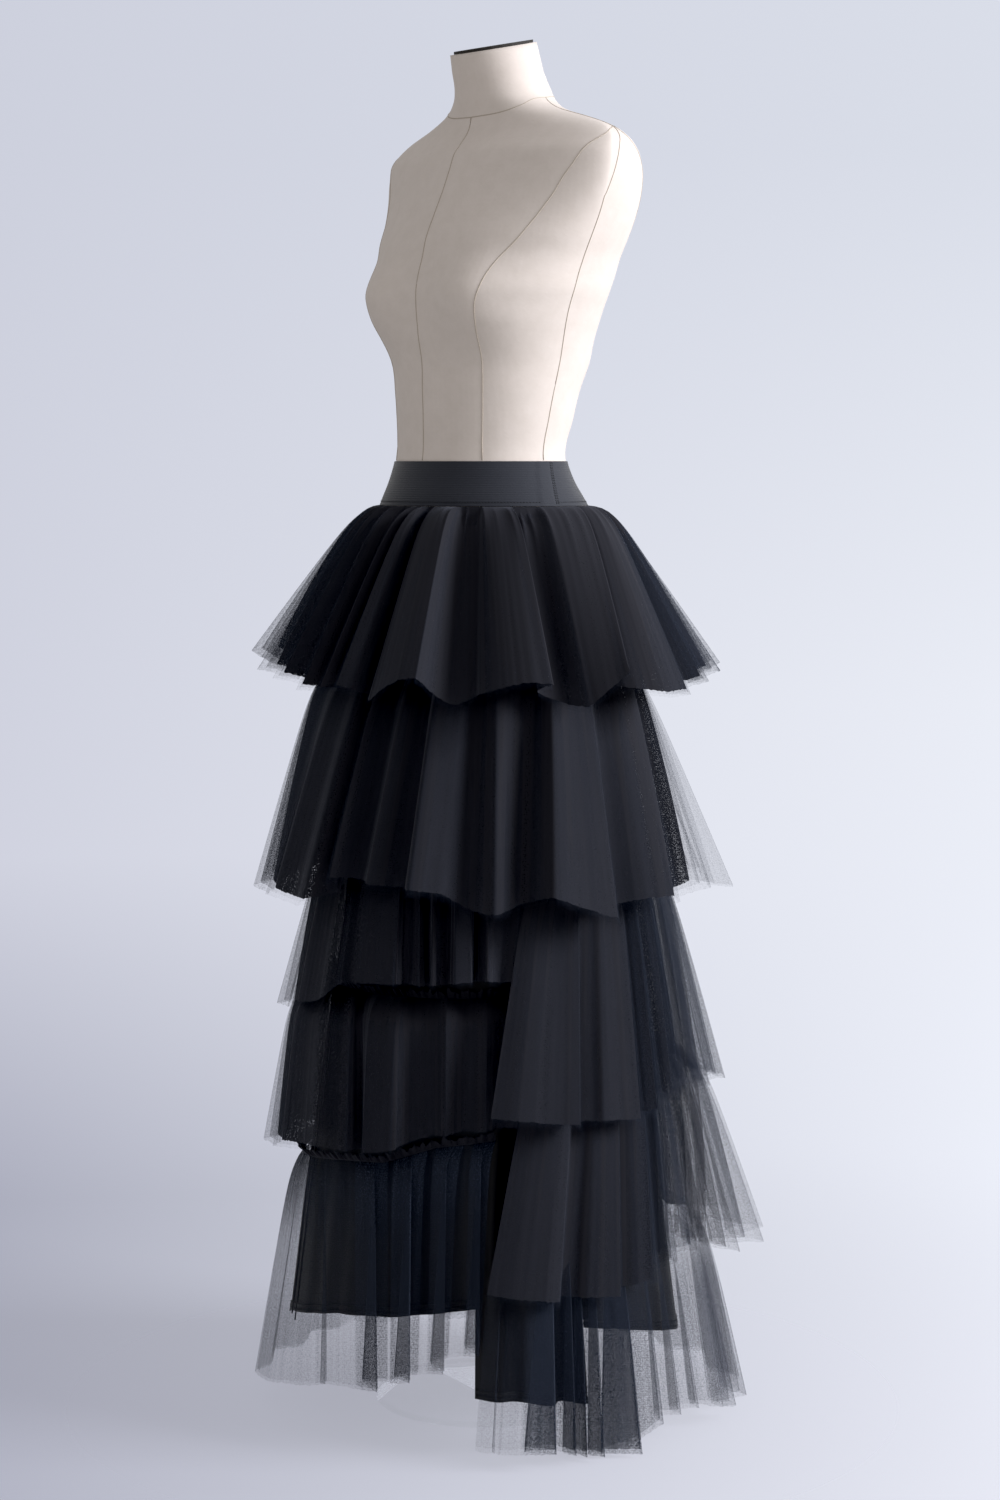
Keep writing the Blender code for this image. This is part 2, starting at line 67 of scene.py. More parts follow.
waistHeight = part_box("waistband")[1].z
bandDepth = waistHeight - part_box("waistband")[0].z
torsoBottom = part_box("form_torso")[0].z

formClearance = 0.0007  # between the form and the cloth on it
clothThickness = 0.0012  # of the solids under these shells
seatGap = 0.0003


def toLinear(code):
    # sRGB hex to linear RGBA
    channels = [int(code[i:i + 2], 16) / 255 for i in (1, 3, 5)]
    return tuple(c / 12.92 if c <= 0.04045 else ((c + 0.055) / 1.055) ** 2.4 for c in channels) + (1.0,)


def tableValue(rows, at, column=1):
    # straight between a table's rows
    return np.interp(at, [row[0] for row in rows], [row[column] for row in rows])


def smoothStep(start, end, startSlope, endSlope, step, s):
    # the smooth curve between two points, a share s of the way along
    return (
        start * (1 + 2 * s) * (1 - s) ** 2 + end * s * s * (3 - 2 * s)
        + startSlope * step * s * (1 - s) ** 2 - endSlope * step * s * s * (1 - s)
    )


def smoothValue(rows, at, column):
    # a smooth curve through a table's rows
    xs = np.array([row[0] for row in rows], float)
    ys = np.array([row[column] for row in rows], float)
    slopes = np.gradient(ys, xs)
    at = np.clip(at, xs[0], xs[-1])
    i = np.clip(np.searchsorted(xs, at, side="right") - 1, 0, len(xs) - 2)
    step = xs[i + 1] - xs[i]
    return smoothStep(ys[i], ys[i + 1], slopes[i], slopes[i + 1], step, (at - xs[i]) / step)


def easeIn(value):
    value = np.clip(value, 0.0, 1.0)
    return value * value * (3 - 2 * value)


def pointsAt(bearing, radius, drop):
    angle = np.radians(bearing)
    height = waistHeight - drop + 0 * radius
    return np.stack([radius * np.sin(angle), -radius * np.cos(angle), height], axis=-1)


def addPiece(name, mesh, material):
    mesh.shade_smooth()
    mesh.materials.append(material)
    piece = bpy.data.objects.new(name, mesh)
    bpy.context.scene.collection.objects.link(piece)
    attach(piece, "root")
    return piece


def gridPiece(name, points, material, closed=False, uv=None, crowd=None):
    # a smooth surface through a grid of points, rows from top to bottom and columns round
    rows, columns = points.shape[:2]
    around = columns if closed else columns - 1
    row, column = np.meshgrid(np.arange(rows - 1), np.arange(around), indexing="ij")
    right = (column + 1) % columns
    near, far = row * columns, (row + 1) * columns
    faces = np.stack([near + column, far + column, far + right, near + right], axis=-1).reshape(-1, 4)
    mesh = bpy.data.meshes.new(name)
    mesh.from_pydata(points.reshape(-1, 3).tolist(), [], faces.tolist())
    if uv is not None:
        wrapped = np.concatenate([uv, uv[:, :1]], axis=1) if closed else uv
        if closed:
            wrapped[:, -1, 0] = 2 * uv[:, -1, 0] - uv[:, -2, 0]
        corners = np.stack([wrapped[row, column], wrapped[row + 1, column], wrapped[row + 1, column + 1],
                            wrapped[row, column + 1]], axis=2)
        layer = mesh.uv_layers.new(name="cloth")
        layer.data.foreach_set("uv", corners.reshape(-1).astype(np.float32))
    if crowd is not None:
        thickness = mesh.attributes.new("crowd", "FLOAT", "POINT")
        thickness.data.foreach_set("value", crowd.reshape(-1).astype(np.float32))
    return addPiece(name, mesh, material)


def tubePiece(name, paths, radius, material, sides=6):
    # round threads or cords along lists of points, joined in one mesh
    points, faces = [], []
    for path in paths:
        path = np.asarray(path, float)
        along = np.gradient(path, axis=0)
        along /= np.linalg.norm(along, axis=1, keepdims=True)
        side = np.cross(along, (0.0, 0.0, 1.0))
        upright = np.linalg.norm(side, axis=1) < 0.2
        side[upright] = np.cross(along[upright], (0.0, 1.0, 0.0))
        side /= np.linalg.norm(side, axis=1, keepdims=True)
        over = np.cross(side, along)
        start = len(points)
        for k in range(sides):
            turn = 2 * math.pi * k / sides
            points += (path + radius * (math.cos(turn) * side + math.sin(turn) * over)).tolist()
        count = len(path)
        for k in range(sides):
            near, far = start + k * count, start + (k + 1) % sides * count
            faces += [(near + i, far + i, far + i + 1, near + i + 1) for i in range(count - 1)]
        for i, turned in ((0, False), (count - 1, True)):
            end = [start + k * count + i for k in range(sides)]
            faces.append(tuple(end if turned else reversed(end)))
    mesh = bpy.data.meshes.new(name)
    mesh.from_pydata(points, [], faces)
    return addPiece(name, mesh, material)


def newMaterial(name):
    material = bpy.data.materials.new(name)
    material.use_nodes = True
    return material, material.node_tree, material.node_tree.nodes["Principled BSDF"]


def addNode(tree, kind, inputs=None, **settings):
    # one node with its settings; an input is a value, or the node or socket that is linked to it
    node = tree.nodes.new(kind)
    for key, value in settings.items():
        setattr(node, key, value)
    setInputs(tree, node, inputs or {})
    return node


def setInputs(tree, node, inputs):
    # a node stands for the first of its outputs that is in use
    for key, value in inputs.items():
        if isinstance(value, bpy.types.Node):
            value = next(socket for socket in value.outputs if socket.enabled)
        if isinstance(value, bpy.types.NodeSocket):
            tree.links.new(value, node.inputs[key])
        else:
            node.inputs[key].default_value = value


tulleLook = {
    "open": ("#2b303c", "#353b49"),  # one net alone: its black partly painted light, lighter and smoke blue for the light it scatters against the bright paper: thin and thick places
    "close": ("#242429", "#2a2a30"),  # many nets together: soft black
    "sheen": "#b0b5c8",  # the light on the threads, seen along the cloth
    "meshPitch": 2.4,  # mm between holes; real tulle's 1.2 mm is too fine to show, so it is drawn coarser
    "meshContrast": (0.60, 1.40),  # share of the light stopped, in the holes and at the threads
    "streakWidth": 6.0,  # mm across the soft streaks where the threads crowd together
    "streakLength": 140.0,  # mm along them
    "streakContrast": (0.92, 1.08),
    "grain": 2.6,  # mm across the speckle of two nets over each other
    "grainContrast": (0.72, 1.28),
}


def makeTulle(name, density, look):
    # nylon tulle, a fine knitted net: sheer, matt and soft, greyer where several layers cross
    material, tree, shader = newMaterial(name)
    cloth = addNode(tree, "ShaderNodeUVMap", uv_map="cloth")
    mesh = addNode(tree, "ShaderNodeTexVoronoi", {
        "Vector": cloth, "Scale": 1000 / tulleLook["meshPitch"], "Randomness": 0.6,
    }, voronoi_dimensions="2D")
    stretched = addNode(tree, "ShaderNodeMapping", {
        "Vector": cloth, "Scale": (1000 / tulleLook["streakWidth"], 1000 / tulleLook["streakLength"], 1.0),
    })
    streak = addNode(tree, "ShaderNodeTexNoise", {
        "Vector": stretched, "Scale": 1.0, "Detail": 1.0, "Roughness": 0.6,
    }, noise_dimensions="2D")
    speck = addNode(tree, "ShaderNodeTexNoise", {
        "Vector": cloth, "Scale": 1000 / tulleLook["grain"], "Detail": 1.0, "Roughness": 0.8,
    }, noise_dimensions="2D")
    # how much of the light the net stops: the threads, the streaks and the speckle, times its thickness
    crowd = addNode(tree, "ShaderNodeAttribute", attribute_name="crowd")
    cover = addNode(tree, "ShaderNodeMath", {0: crowd.outputs["Fac"], 1: density}, operation="MULTIPLY")
    for pattern, low, high, contrast in (
        (mesh, 0.15, 0.75, "meshContrast"),
        (streak, 0.3, 0.7, "streakContrast"),
        (speck, 0.35, 0.65, "grainContrast"),
    ):
        least, most = tulleLook[contrast]
        share = addNode(tree, "ShaderNodeMapRange", {
            "Value": pattern, "From Min": low, "From Max": high, "To Min": least, "To Max": most,
        })
        cover = addNode(tree, "ShaderNodeMath", {0: cover, 1: share}, operation="MULTIPLY")
    cover.use_clamp = True
    # the look's two colours; those of the open look are partly painted light, lighter and bluer than black
    # nylon
    thin, thick = (toLinear(colour) for colour in tulleLook[look])
    colour = addNode(tree, "ShaderNodeMix", {"Factor": streak, "A": thin, "B": thick}, data_type="RGBA")
    setInputs(tree, shader, {
        "Base Color": colour, "Alpha": cover, "Roughness": 0.85, "IOR": 1.53, "Specular IOR Level": 0.12,
        "Sheen Weight": 0.16, "Sheen Roughness": 0.45, "Sheen Tint": toLinear(tulleLook["sheen"]),
    })
    return material


def makeSatin():
    # polyester lining satin: a smooth black weave with a low, wide gloss
    material, tree, shader = newMaterial("polyesterSatinWoven")
    cloth = addNode(tree, "ShaderNodeUVMap", uv_map="cloth")
    # to the metre, so 1.1 mm across a float and 8.3 mm along it; real ones are too fine to show
    floats = (900.0, 120.0, 1.0)
    stretched = addNode(tree, "ShaderNodeMapping", {"Vector": cloth, "Scale": floats})
    weave = addNode(tree, "ShaderNodeTexNoise", {"Vector": stretched, "Scale": 1.0, "Detail": 2.0})
    colour = addNode(tree, "ShaderNodeMix", {
        "Factor": weave, "A": toLinear("#0c0c11"), "B": toLinear("#15151c"),
    }, data_type="RGBA")
    bump = addNode(tree, "ShaderNodeBump", {"Height": weave, "Strength": 0.15, "Distance": 0.0003})
    setInputs(tree, shader, {
        "Base Color": colour, "Normal": bump, "Roughness": 0.5, "IOR": 1.53, "Specular IOR Level": 0.3,
    })
    return material


def makeElastic():
    # woven waistband elastic: black polyester over rubber, ribbed along its length, matt
    material, tree, shader = newMaterial("elasticWoven")
    cloth = addNode(tree, "ShaderNodeUVMap", uv_map="cloth")
    picks = (1000 / 1.1, 1000 / 1.0, 1.0)  # 1.1 mm between picks along the band, 1.0 mm across it
    spaced = addNode(tree, "ShaderNodeMapping", {"Vector": cloth, "Scale": picks})
    weave = addNode(tree, "ShaderNodeTexVoronoi", {
        "Vector": spaced, "Scale": 1.0, "Randomness": 0.35,
    }, feature="F1")
    colour = addNode(tree, "ShaderNodeMix", {
        "Factor": weave, "A": toLinear("#32353f"), "B": toLinear("#1f2028"),
    }, data_type="RGBA")
    bump = addNode(tree, "ShaderNodeBump", {
        "Height": weave, "Strength": 0.5, "Distance": 0.0004,
    }, invert=True)
    setInputs(tree, shader, {
        "Base Color": colour, "Normal": bump, "Roughness": 0.75, "IOR": 1.53, "Specular IOR Level": 0.35,
        "Sheen Weight": 0.50, "Sheen Roughness": 0.4,
    })
    return material


def makeLinen():
    # natural linen-cotton cover, plain woven and pulled tight: warm ivory, matt, faintly slubbed
    material, tree, shader = newMaterial("linenWoven")
    place = addNode(tree, "ShaderNodeTexCoord").outputs["Object"]
    threadPitch = 1.0  # mm; real threads are about 0.5 mm apart, drawn coarser so that the weave shows
    warp, weft = (
        addNode(tree, "ShaderNodeTexWave", {
            "Vector": place, "Scale": 1000 / threadPitch / 20, "Distortion": uneven, "Detail": 1.0,
            "Detail Scale": 2.0,
        }, bands_direction=axis).outputs["Fac"]
        for axis, uneven in (("X", 2.0), ("Z", 5.0))
    )
    weave = addNode(tree, "ShaderNodeMath", {0: warp, 1: weft}, operation="MULTIPLY")
    slub = addNode(tree, "ShaderNodeTexNoise", {
        "Vector": place, "Scale": 60.0, "Detail": 4.0, "Roughness": 0.65,
    })
    colour = addNode(tree, "ShaderNodeMix", {
        "Factor": slub, "A": toLinear("#dcd0c7"), "B": toLinear("#ebdfd8"),
    }, data_type="RGBA")
    bump = addNode(tree, "ShaderNodeBump", {"Height": weave, "Strength": 0.12, "Distance": 0.0003})
    setInputs(tree, shader, {
        "Base Color": colour, "Normal": bump, "Roughness": 0.85, "IOR": 1.5, "Specular IOR Level": 0.2,
        "Sheen Weight": 0.12, "Sheen Roughness": 0.5,
    })
    return material


def makePlain(name, colour, roughness, speckle=250.0, depth=0.0001):
    # a plain finish with a fine orange-peel or fibre texture: 250 speckles to the metre are 4 mm each
    material, tree, shader = newMaterial(name)
    place = addNode(tree, "ShaderNodeTexCoord").outputs["Object"]
    noise = addNode(tree, "ShaderNodeTexNoise", {"Vector": place, "Scale": speckle, "Detail": 2.0})
    tone = addNode(tree, "ShaderNodeMapRange", {"Value": noise, "To Min": 0.92, "To Max": 1.08})
    mixed = addNode(tree, "ShaderNodeVectorMath", {0: toLinear(colour)[:3], 1: tone}, operation="MULTIPLY")
    bump = addNode(tree, "ShaderNodeBump", {"Height": noise, "Strength": 0.3, "Distance": depth})
    setInputs(tree, shader, {"Base Color": mixed, "Normal": bump, "Roughness": roughness})
    return material


def makeGlass():
    # tempered float glass, clear: it shows what is under it, with a faint green-blue tint and a hard gloss
    material, tree, shader = newMaterial("glassTempered")
    place = addNode(tree, "ShaderNodeTexCoord").outputs["Object"]
    length = addNode(tree, "ShaderNodeVectorMath", {0: place}, operation="LENGTH")
    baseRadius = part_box("stand_base")[1].x
    rimWidth = 0.004  # the polished edge, where the glass is seen
    alpha = addNode(tree, "ShaderNodeMapRange", {
        "Value": length, "From Min": baseRadius - rimWidth, "From Max": baseRadius,
        "To Min": 0.015, "To Max": 0.06,
    })
    setInputs(tree, shader, {
        "Base Color": toLinear("#b4bfc4"), "Alpha": alpha, "Roughness": 0.03, "IOR": 1.52,
    })
    return material


materials = {
    # one net, two together, and the many inside; the first two take the open look, whose smoke blue is partly
    # painted light
    "single": makeTulle("nylonTulleSingle", 0.15, "open"),
    "sheer": makeTulle("nylonTulleSheer", 0.24, "open"),
    "dense": makeTulle("nylonTulleDense", 1.9, "close"),
    "satin": makeSatin(),
    "elastic": makeElastic(),
    "linen": makeLinen(),
    # the form's seam cords: grey-brown, darker than the cover, partly the thread's own colour and partly
    # painted shade along the seams
    "thread": makePlain("cottonThreadTwisted", "#bdb1a3", 0.9, speckle=900.0),
    "blackThread": makePlain("polyesterThreadTwisted", "#101014", 0.8, speckle=900.0),
    # grey board under the neck's cover: dull and dark
    "board": makePlain("greyBoardPressed", "#2e2a27", 0.8, speckle=300.0),
    "glass": makeGlass(),
    # powder-coated steel: pale, satin, with a fine orange peel
    "steel": makePlain("steelPowderCoated", "#c9cad3", 0.45, speckle=600.0, depth=0.00005),
}
print("materials made")

torso = {
    "sections": [
        # height above waist, half width, centre y, front reach, back reach, front squareness, back squareness
        (-0.240, 0.150, 0.004, 0.104, 0.112, 2.3, 2.3),
        (-0.200, 0.160, 0.005, 0.113, 0.122, 2.3, 2.3),
        (-0.150, 0.160, 0.005, 0.117, 0.122, 2.2, 2.3),
        (-0.100, 0.147, 0.003, 0.115, 0.116, 2.1, 2.2),
        (-0.050, 0.129, 0.001, 0.106, 0.104, 2.0, 2.1),
        (-0.020, 0.115, 0.000, 0.095, 0.090, 2.0, 2.0),
        (0.000, 0.108, 0.000, 0.0905, 0.083, 2.0, 2.0),
        (0.050, 0.110, 0.005, 0.094, 0.092, 2.0, 2.0),
        (0.080, 0.114, 0.008, 0.098, 0.098, 2.0, 2.0),
        (0.110, 0.119, 0.0115, 0.102, 0.105, 2.0, 2.1),
        (0.140, 0.127, 0.012, 0.107, 0.109, 2.1, 2.1),
        (0.155, 0.132, 0.012, 0.108, 0.109, 2.2, 2.2),
        (0.172, 0.138, 0.012, 0.109, 0.110, 2.2, 2.3),
        (0.190, 0.145, 0.012, 0.109, 0.112, 2.2, 2.4),
        (0.208, 0.149, 0.013, 0.107, 0.115, 2.1, 2.5),
        (0.226, 0.154, 0.015, 0.104, 0.117, 2.0, 2.5),
        (0.248, 0.163, 0.017, 0.101, 0.118, 1.9, 2.6),
        (0.273, 0.172, 0.020, 0.093, 0.118, 1.7, 2.7),
        (0.300, 0.179, 0.023, 0.083, 0.115, 1.6, 2.8),
        (0.326, 0.183, 0.026, 0.075, 0.110, 1.6, 2.7),
        (0.345, 0.182, 0.028, 0.069, 0.104, 1.6, 2.5),
        (0.358, 0.176, 0.032, 0.062, 0.096, 1.5, 2.2),
        (0.370, 0.160, 0.037, 0.058, 0.084, 1.5, 1.9),
        (0.382, 0.126, 0.040, 0.057, 0.070, 1.6, 1.8),
        (0.394, 0.086, 0.036, 0.053, 0.064, 1.8, 1.8),
        (0.407, 0.062, 0.032, 0.051, 0.061, 2.0, 2.0),
        (0.420, 0.055, 0.030, 0.052, 0.058, 2.0, 2.0),
        (0.440, 0.0515, 0.024, 0.052, 0.053, 2.0, 2.0),
    ],
    "columns": 160,
    "rows": 170,
    "bustHeight": 0.182,
    "bustSide": 0.078,
    "bustReach": 0.021,
    "bustWidth": 0.046,
    "bustTall": 0.048,
    "neckRadius": 0.0490,
    "neckCentreY": 0.0176,
    "neckHeight": 0.4655,
    "neckSlope": 0.21,
    "turnIn": 0.02,  # share of the neck's radius over which the cover turns in at the neck's edge
    "turnDown": 0.0006,  # how far under that edge it ends
    "cornerRow": 0.002,  # share of the way in at which a row of points keeps the edge crisp
    "closing": 0.001,  # share to which a ring shrinks where the cover closes
    "seamRadius": 0.0006,
    # seams on the wearer's left, as (height above waist, angle round the section from +X towards the back)
    "princessSeam": [(0.001, -47), (0.105, -50), (0.139, -51), (0.169, -51), (0.195, -50), (0.222, -47),
                     (0.246, -42), (0.290, -35), (0.318, -31), (0.349, -20), (0.369, 10)],
    "sideSeam": [(0.001, -3), (0.099, -1), (0.170, -2), (0.220, -1), (0.289, 0), (0.340, 3), (0.369, 10)],
    "shoulderSeam": [(0.369, 10), (0.378, 4), (0.388, -2), (0.398, 4), (0.408, 10)],
    # the back's princess seam runs from the waist to the shoulder blade and out to the shoulder
    "backSeam": [(0.001, 48), (0.10, 50), (0.18, 50), (0.25, 44), (0.32, 32), (0.369, 12)],
    # as (angle, height)
    "collarSeam": [
        (-90, 0.386), (-68, 0.388), (-40, 0.396), (-15, 0.404), (10, 0.408), (40, 0.412), (90, 0.412),
    ],
}


def torsoPoints(height, angle):
    # the torso's surface at heights above the waist and angles round its sections, in radians
    width, centre, front, back, frontSquare, backSquare = (
        smoothValue(torso["sections"], height, column) for column in range(1, 7)
    )
    across, along = np.cos(angle), np.sin(angle)
    behind = along >= 0
    reach = np.where(behind, back, front)
    square = np.where(behind, backSquare, frontSquare)
    x = width * np.sign(across) * np.abs(across) ** (2 / square)
    y = reach * np.sign(along) * np.abs(along) ** (2 / square) + centre
    for side in (-1, 1):
        offSide = (x - side * torso["bustSide"]) / torso["bustWidth"]
        offHeight = (height - torso["bustHeight"]) / torso["bustTall"]
        swell = torso["bustReach"] * np.exp(-(offSide**2) - offHeight**2) * np.clip(-along * 2, 0, 1)
        y = y - np.where(height > 0, swell, 0)
    return np.stack([x, y, waistHeight + height], axis=-1)


def neckTop(angle):
    x = torso["neckRadius"] * np.cos(angle)
    y = torso["neckRadius"] * np.sin(angle) + torso["neckCentreY"]
    z = waistHeight + torso["neckHeight"] + torso["neckSlope"] * (y - torso["neckCentreY"])
    return np.stack([x, y, z], axis=-1)


def makeForm():
    bottom, top = torso["sections"][0][0], torso["sections"][-1][0]
    angles = np.arange(torso["columns"]) * 2 * math.pi / torso["columns"]
    heights = np.linspace(top, bottom, torso["rows"])
    body = torsoPoints(heights[:, None] + 0 * angles, angles[None, :] + 0 * heights[:, None])
    rim = neckTop(angles)
    upper = [rim * share + body[0] * (1 - share) for share in (1.0, 0.75, 0.5, 0.25)]
    # the cover turns in at the neck's edge, under the cap, and closes there and under the hips
    centre = np.array([0.0, torso["neckCentreY"]])
    turned = rim.copy()
    turned[:, :2] = centre + (rim[:, :2] - centre) * (1 - torso["turnIn"]) * torso["closing"]
    turned[:, 2] = waistHeight + torso["neckHeight"] - torso["turnDown"]
    corner = rim * (1 - torso["cornerRow"]) + turned * torso["cornerRow"]
    base = body[-1].copy()
    base[:, :2] *= torso["closing"]
    grid = np.concatenate([[turned], [corner], upper, body, [base]])
    form = gridPiece("form_cover", grid, materials["linen"], closed=True)
    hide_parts("form_torso")


def makeFormSeams():
    mirror = np.array([-1.0, 1.0, 1.0])
    collar = torso["collarSeam"]
    lowest = torso["princessSeam"][0][0]
    paths = [
        torsoPoints(np.linspace(lowest, height, 90), np.full(90, math.radians(angle)))
        for angle, height in (collar[0], collar[-1])
    ]
    angles = np.linspace(collar[0][0], collar[-1][0], 80)
    ring = torsoPoints(smoothValue(collar, angles, 1), np.radians(angles))
    paths += [ring, ring * mirror]
    for seam in ("princessSeam", "sideSeam", "shoulderSeam", "backSeam"):
        rows = [(i, *row) for i, row in enumerate(torso[seam])]
        heights, angles = (smoothValue(rows, np.linspace(0, len(rows) - 1, 70), column) for column in (1, 2))
        path = torsoPoints(heights, np.radians(angles))
        paths += [path, path * mirror]
    seams = tubePiece("form_seams", paths, torso["seamRadius"], materials["thread"])


makeForm()
makeFormSeams()
finishes = {"form_neck_cap": "board", "stand_base": "glass", "stand_pole": "steel", "stand_collar": "steel"}
for node, finish in finishes.items():
    frame["nodes"][node].material_slots[0].material = materials[finish]
print("form and stand made")

lining = {
    "sections": [
        # drop, half width, front reach, back reach
        (0.300, 0.160, 0.125, 0.132),
        (0.440, 0.160, 0.148, 0.152),
        (0.541, 0.166, 0.160, 0.164),
        (0.628, 0.178, 0.175, 0.178),
        (0.700, 0.188, 0.186, 0.189),
        (0.773, 0.199, 0.197, 0.200),
        (0.860, 0.212, 0.210, 0.213),
        (0.930, 0.221, 0.219, 0.222),
        (1.060, 0.237, 0.235, 0.238),
    ],
    # first and last bearing, then the hem as (bearing, drop)
    "panels": {
        "lining_front": ((-40.1, 45.9), [(-40.0, 0.990), (0.0, 0.955), (20.0, 0.946), (45.8, 0.930)]),
        "lining_left": ((45.9, 77.9), [(46.0, 1.027), (60.0, 1.036), (77.8, 1.042)]),
        "lining_back": (
            (77.9, 319.9),
            [(78.0, 0.958), (90.0, 0.968), (138.0, 1.015), (180.0, 1.022), (270.0, 1.016), (319.8, 0.996)],
        ),
    },
    # each panel's cut: hem width, length and area, narrower at the top
    "cut": {
        "lining_front": (0.34, 0.93, 0.221),
        "lining_left": (0.13, 0.99, 0.098),
        "lining_back": (1.00, 0.97, 0.71),
    },
    "columnStep": 1.2,  # degrees
    "rows": (60, 22),  # above the hem and, closer together, in it
    "rowShares": (0.965, 0.968),  # shares of the drop between which the two sets meet
    "patternRadius": 0.21,  # from bearings to lengths across the satin
    # the left panel's folds, as (bearing, how far the cloth lies in)
    "leftFolds": [(46, 0.000), (53, 0.000), (56, 0.009), (60, 0.011), (64, 0.002), (68, 0.000), (70, 0.013),
                  (74, 0.011), (75.5, 0.001), (77.8, 0.000)],
    "loose": (0.62, 0.35),  # the drop from which the cloth hangs loose, and over how much more it gets so
    "waveDepth": 0.005,  # how far the loose cloth falls in between its soft folds
    "waveSpacing": 13.0,  # degrees
    "seed": 11,
    "leftMiddle": 62.0,  # bearing of the left panel, which the other panels' waves stay clear of
    "leftClear": (16.0, 8.0),  # degrees without waves to each side of it, and over how many more they start
    "hemFold": 0.011,  # width of the double-stitched hem
    "hemRaise": 0.0007,
    "hemEdge": 0.0012,  # over which the cloth steps up at the hem's fold
    "grooves": (0.010, 0.004),  # where the stitches pull the hem in, above its edge
    "grooveDepth": 0.0009,
    "grooveWidth": 0.0009,
    "hemRows": (0.0035, 0.0100),  # the stitch rows above the hem
    "edgeRows": (-33.5, -26.5),  # bearings of the stitching along the front panel's turned edge
    "edgeRowEnds": (0.010, 0.002),  # how far it starts below the band and ends above the hem
    "rowStep": 0.8,  # degrees
    "rowEnd": 0.3,  # degrees between a row's end and its panel's edge
    "rowRadius": 0.0009,
}


def formRadius(bearing, drop, outset):
    # distance from the pole to the torso along a bearing, below the waist
    width, centre, front, back, frontSquare, backSquare = (
        smoothValue(torso["sections"], -drop, column) for column in range(1, 7)
    )
    across, along = np.sin(np.radians(bearing)), -np.cos(np.radians(bearing))
    low, high = np.zeros_like(bearing + drop), np.full_like(bearing + drop, 0.4)
    for _ in range(26):
        radius = (low + high) / 2
        x, y = radius * across, radius * along - centre
        reach, square = np.where(y > 0, back, front), np.where(y > 0, backSquare, frontSquare)
        share = np.abs(x / (width + outset)) ** square + np.abs(y / (reach + outset)) ** square
        low, high = np.where(share < 1, radius, low), np.where(share < 1, high, radius)
    return (low + high) / 2


def liningRadius(bearing, drop):
    bearing, drop = np.broadcast_arrays(np.asarray(bearing, float), np.asarray(drop, float))
    onFormUntil, freeFrom = waistHeight - torsoBottom, lining["sections"][0][0]
    width, front, back = (smoothValue(lining["sections"], drop, column) for column in (1, 2, 3))
    across, along = np.sin(np.radians(bearing)), -np.cos(np.radians(bearing))
    free = 1 / np.sqrt((across / width) ** 2 + (along / np.where(along > 0, back, front)) ** 2)
    onForm = formRadius(bearing, np.minimum(drop, onFormUntil), formClearance + clothThickness)
    share = easeIn((drop - onFormUntil) / (freeFrom - onFormUntil))
    return onForm * (1 - share) + free * share


def softWaves(bearing, spacing, seed):
    # uneven waves from 0 to 1, that repeat only after a full turn
    noise = np.random.default_rng(seed)
    total, weight = 0.0, 0.0
    for factor in (0.6, 0.85, 1.0, 1.3):
        count = max(1, round(360 / spacing * factor))
        size = noise.uniform(0.5, 1.0)
        total = total + size * np.cos(np.radians(bearing * count + noise.uniform(0, 360)))
        weight += size
    return total / weight / 2 + 0.5


def evenWaves(bearing, spacing, seed):
    # the same waves from -1 to 1
    return softWaves(bearing, spacing, seed) * 2 - 1


def hangingRadius(name, bearing, drop):
    # a panel's surface with its soft folds
    looseFrom, looseOver = lining["loose"]
    radius, fall = liningRadius(bearing, drop), easeIn((drop - looseFrom) / looseOver)
    if name == "lining_left":
        return radius - fall * smoothValue(lining["leftFolds"], bearing, 1)
    clear, start = lining["leftClear"]
    away = np.abs((bearing - lining["leftMiddle"] + 180) % 360 - 180)
    depth = lining["waveDepth"] * fall * easeIn((away - clear) / start)
    return radius - depth * softWaves(bearing, lining["waveSpacing"], lining["seed"])


def makeLiningRows(name):
    # twin needle stitching along the hem, and up the front panel's edge
    (first, last), hem = lining["panels"][name]
    bearings = np.arange(first + lining["rowEnd"], last - lining["rowEnd"], lining["rowStep"])
    belowBand, aboveHem = lining["edgeRowEnds"]
    drops = np.linspace(bandDepth + belowBand, tableValue(hem, first) - aboveHem, 120)
    places = [(bearings, tableValue(hem, bearings) - raised) for raised in lining["hemRows"]]
    if name == "lining_front":
        places += [(np.full_like(drops, at), drops) for at in lining["edgeRows"]]
    paths = [pointsAt(b, hangingRadius(name, b, d) + lining["hemRaise"], d) for b, d in places]
    rows = tubePiece(name + "_rows", paths, lining["rowRadius"], materials["blackThread"], sides=5)


def makeLiningPanel(name):
    (first, last), hem = lining["panels"][name]
    bearings = np.linspace(first, last, int((last - first) / lining["columnStep"]))
    hemDrop = tableValue(hem, bearings)
    above, inHem = lining["rows"]
    end, start = lining["rowShares"]
    shares = np.concatenate([np.linspace(0, end, above), np.linspace(start, 1.0, inHem)])
    top = bandDepth + seatGap
    drop = top + (hemDrop - top)[None, :] * shares[:, None]
    bearing = bearings[None, :] + 0 * drop
    fromHem = hemDrop[None, :] - drop
    folded = easeIn((lining["hemFold"] - fromHem) / lining["hemEdge"])
    grooves = sum(np.exp(-((fromHem - at) / lining["grooveWidth"]) ** 2) for at in lining["grooves"])
    radius = hangingRadius(name, bearing, drop)
    radius += lining["hemRaise"] * folded - lining["grooveDepth"] * grooves
    across = np.radians(bearings - first) * lining["patternRadius"]
    uv = np.stack([across[None, :] + 0 * drop, drop], axis=-1)
    panel = gridPiece(name + "_satin", pointsAt(bearing, radius, drop), materials["satin"], uv=uv)
    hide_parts(name)


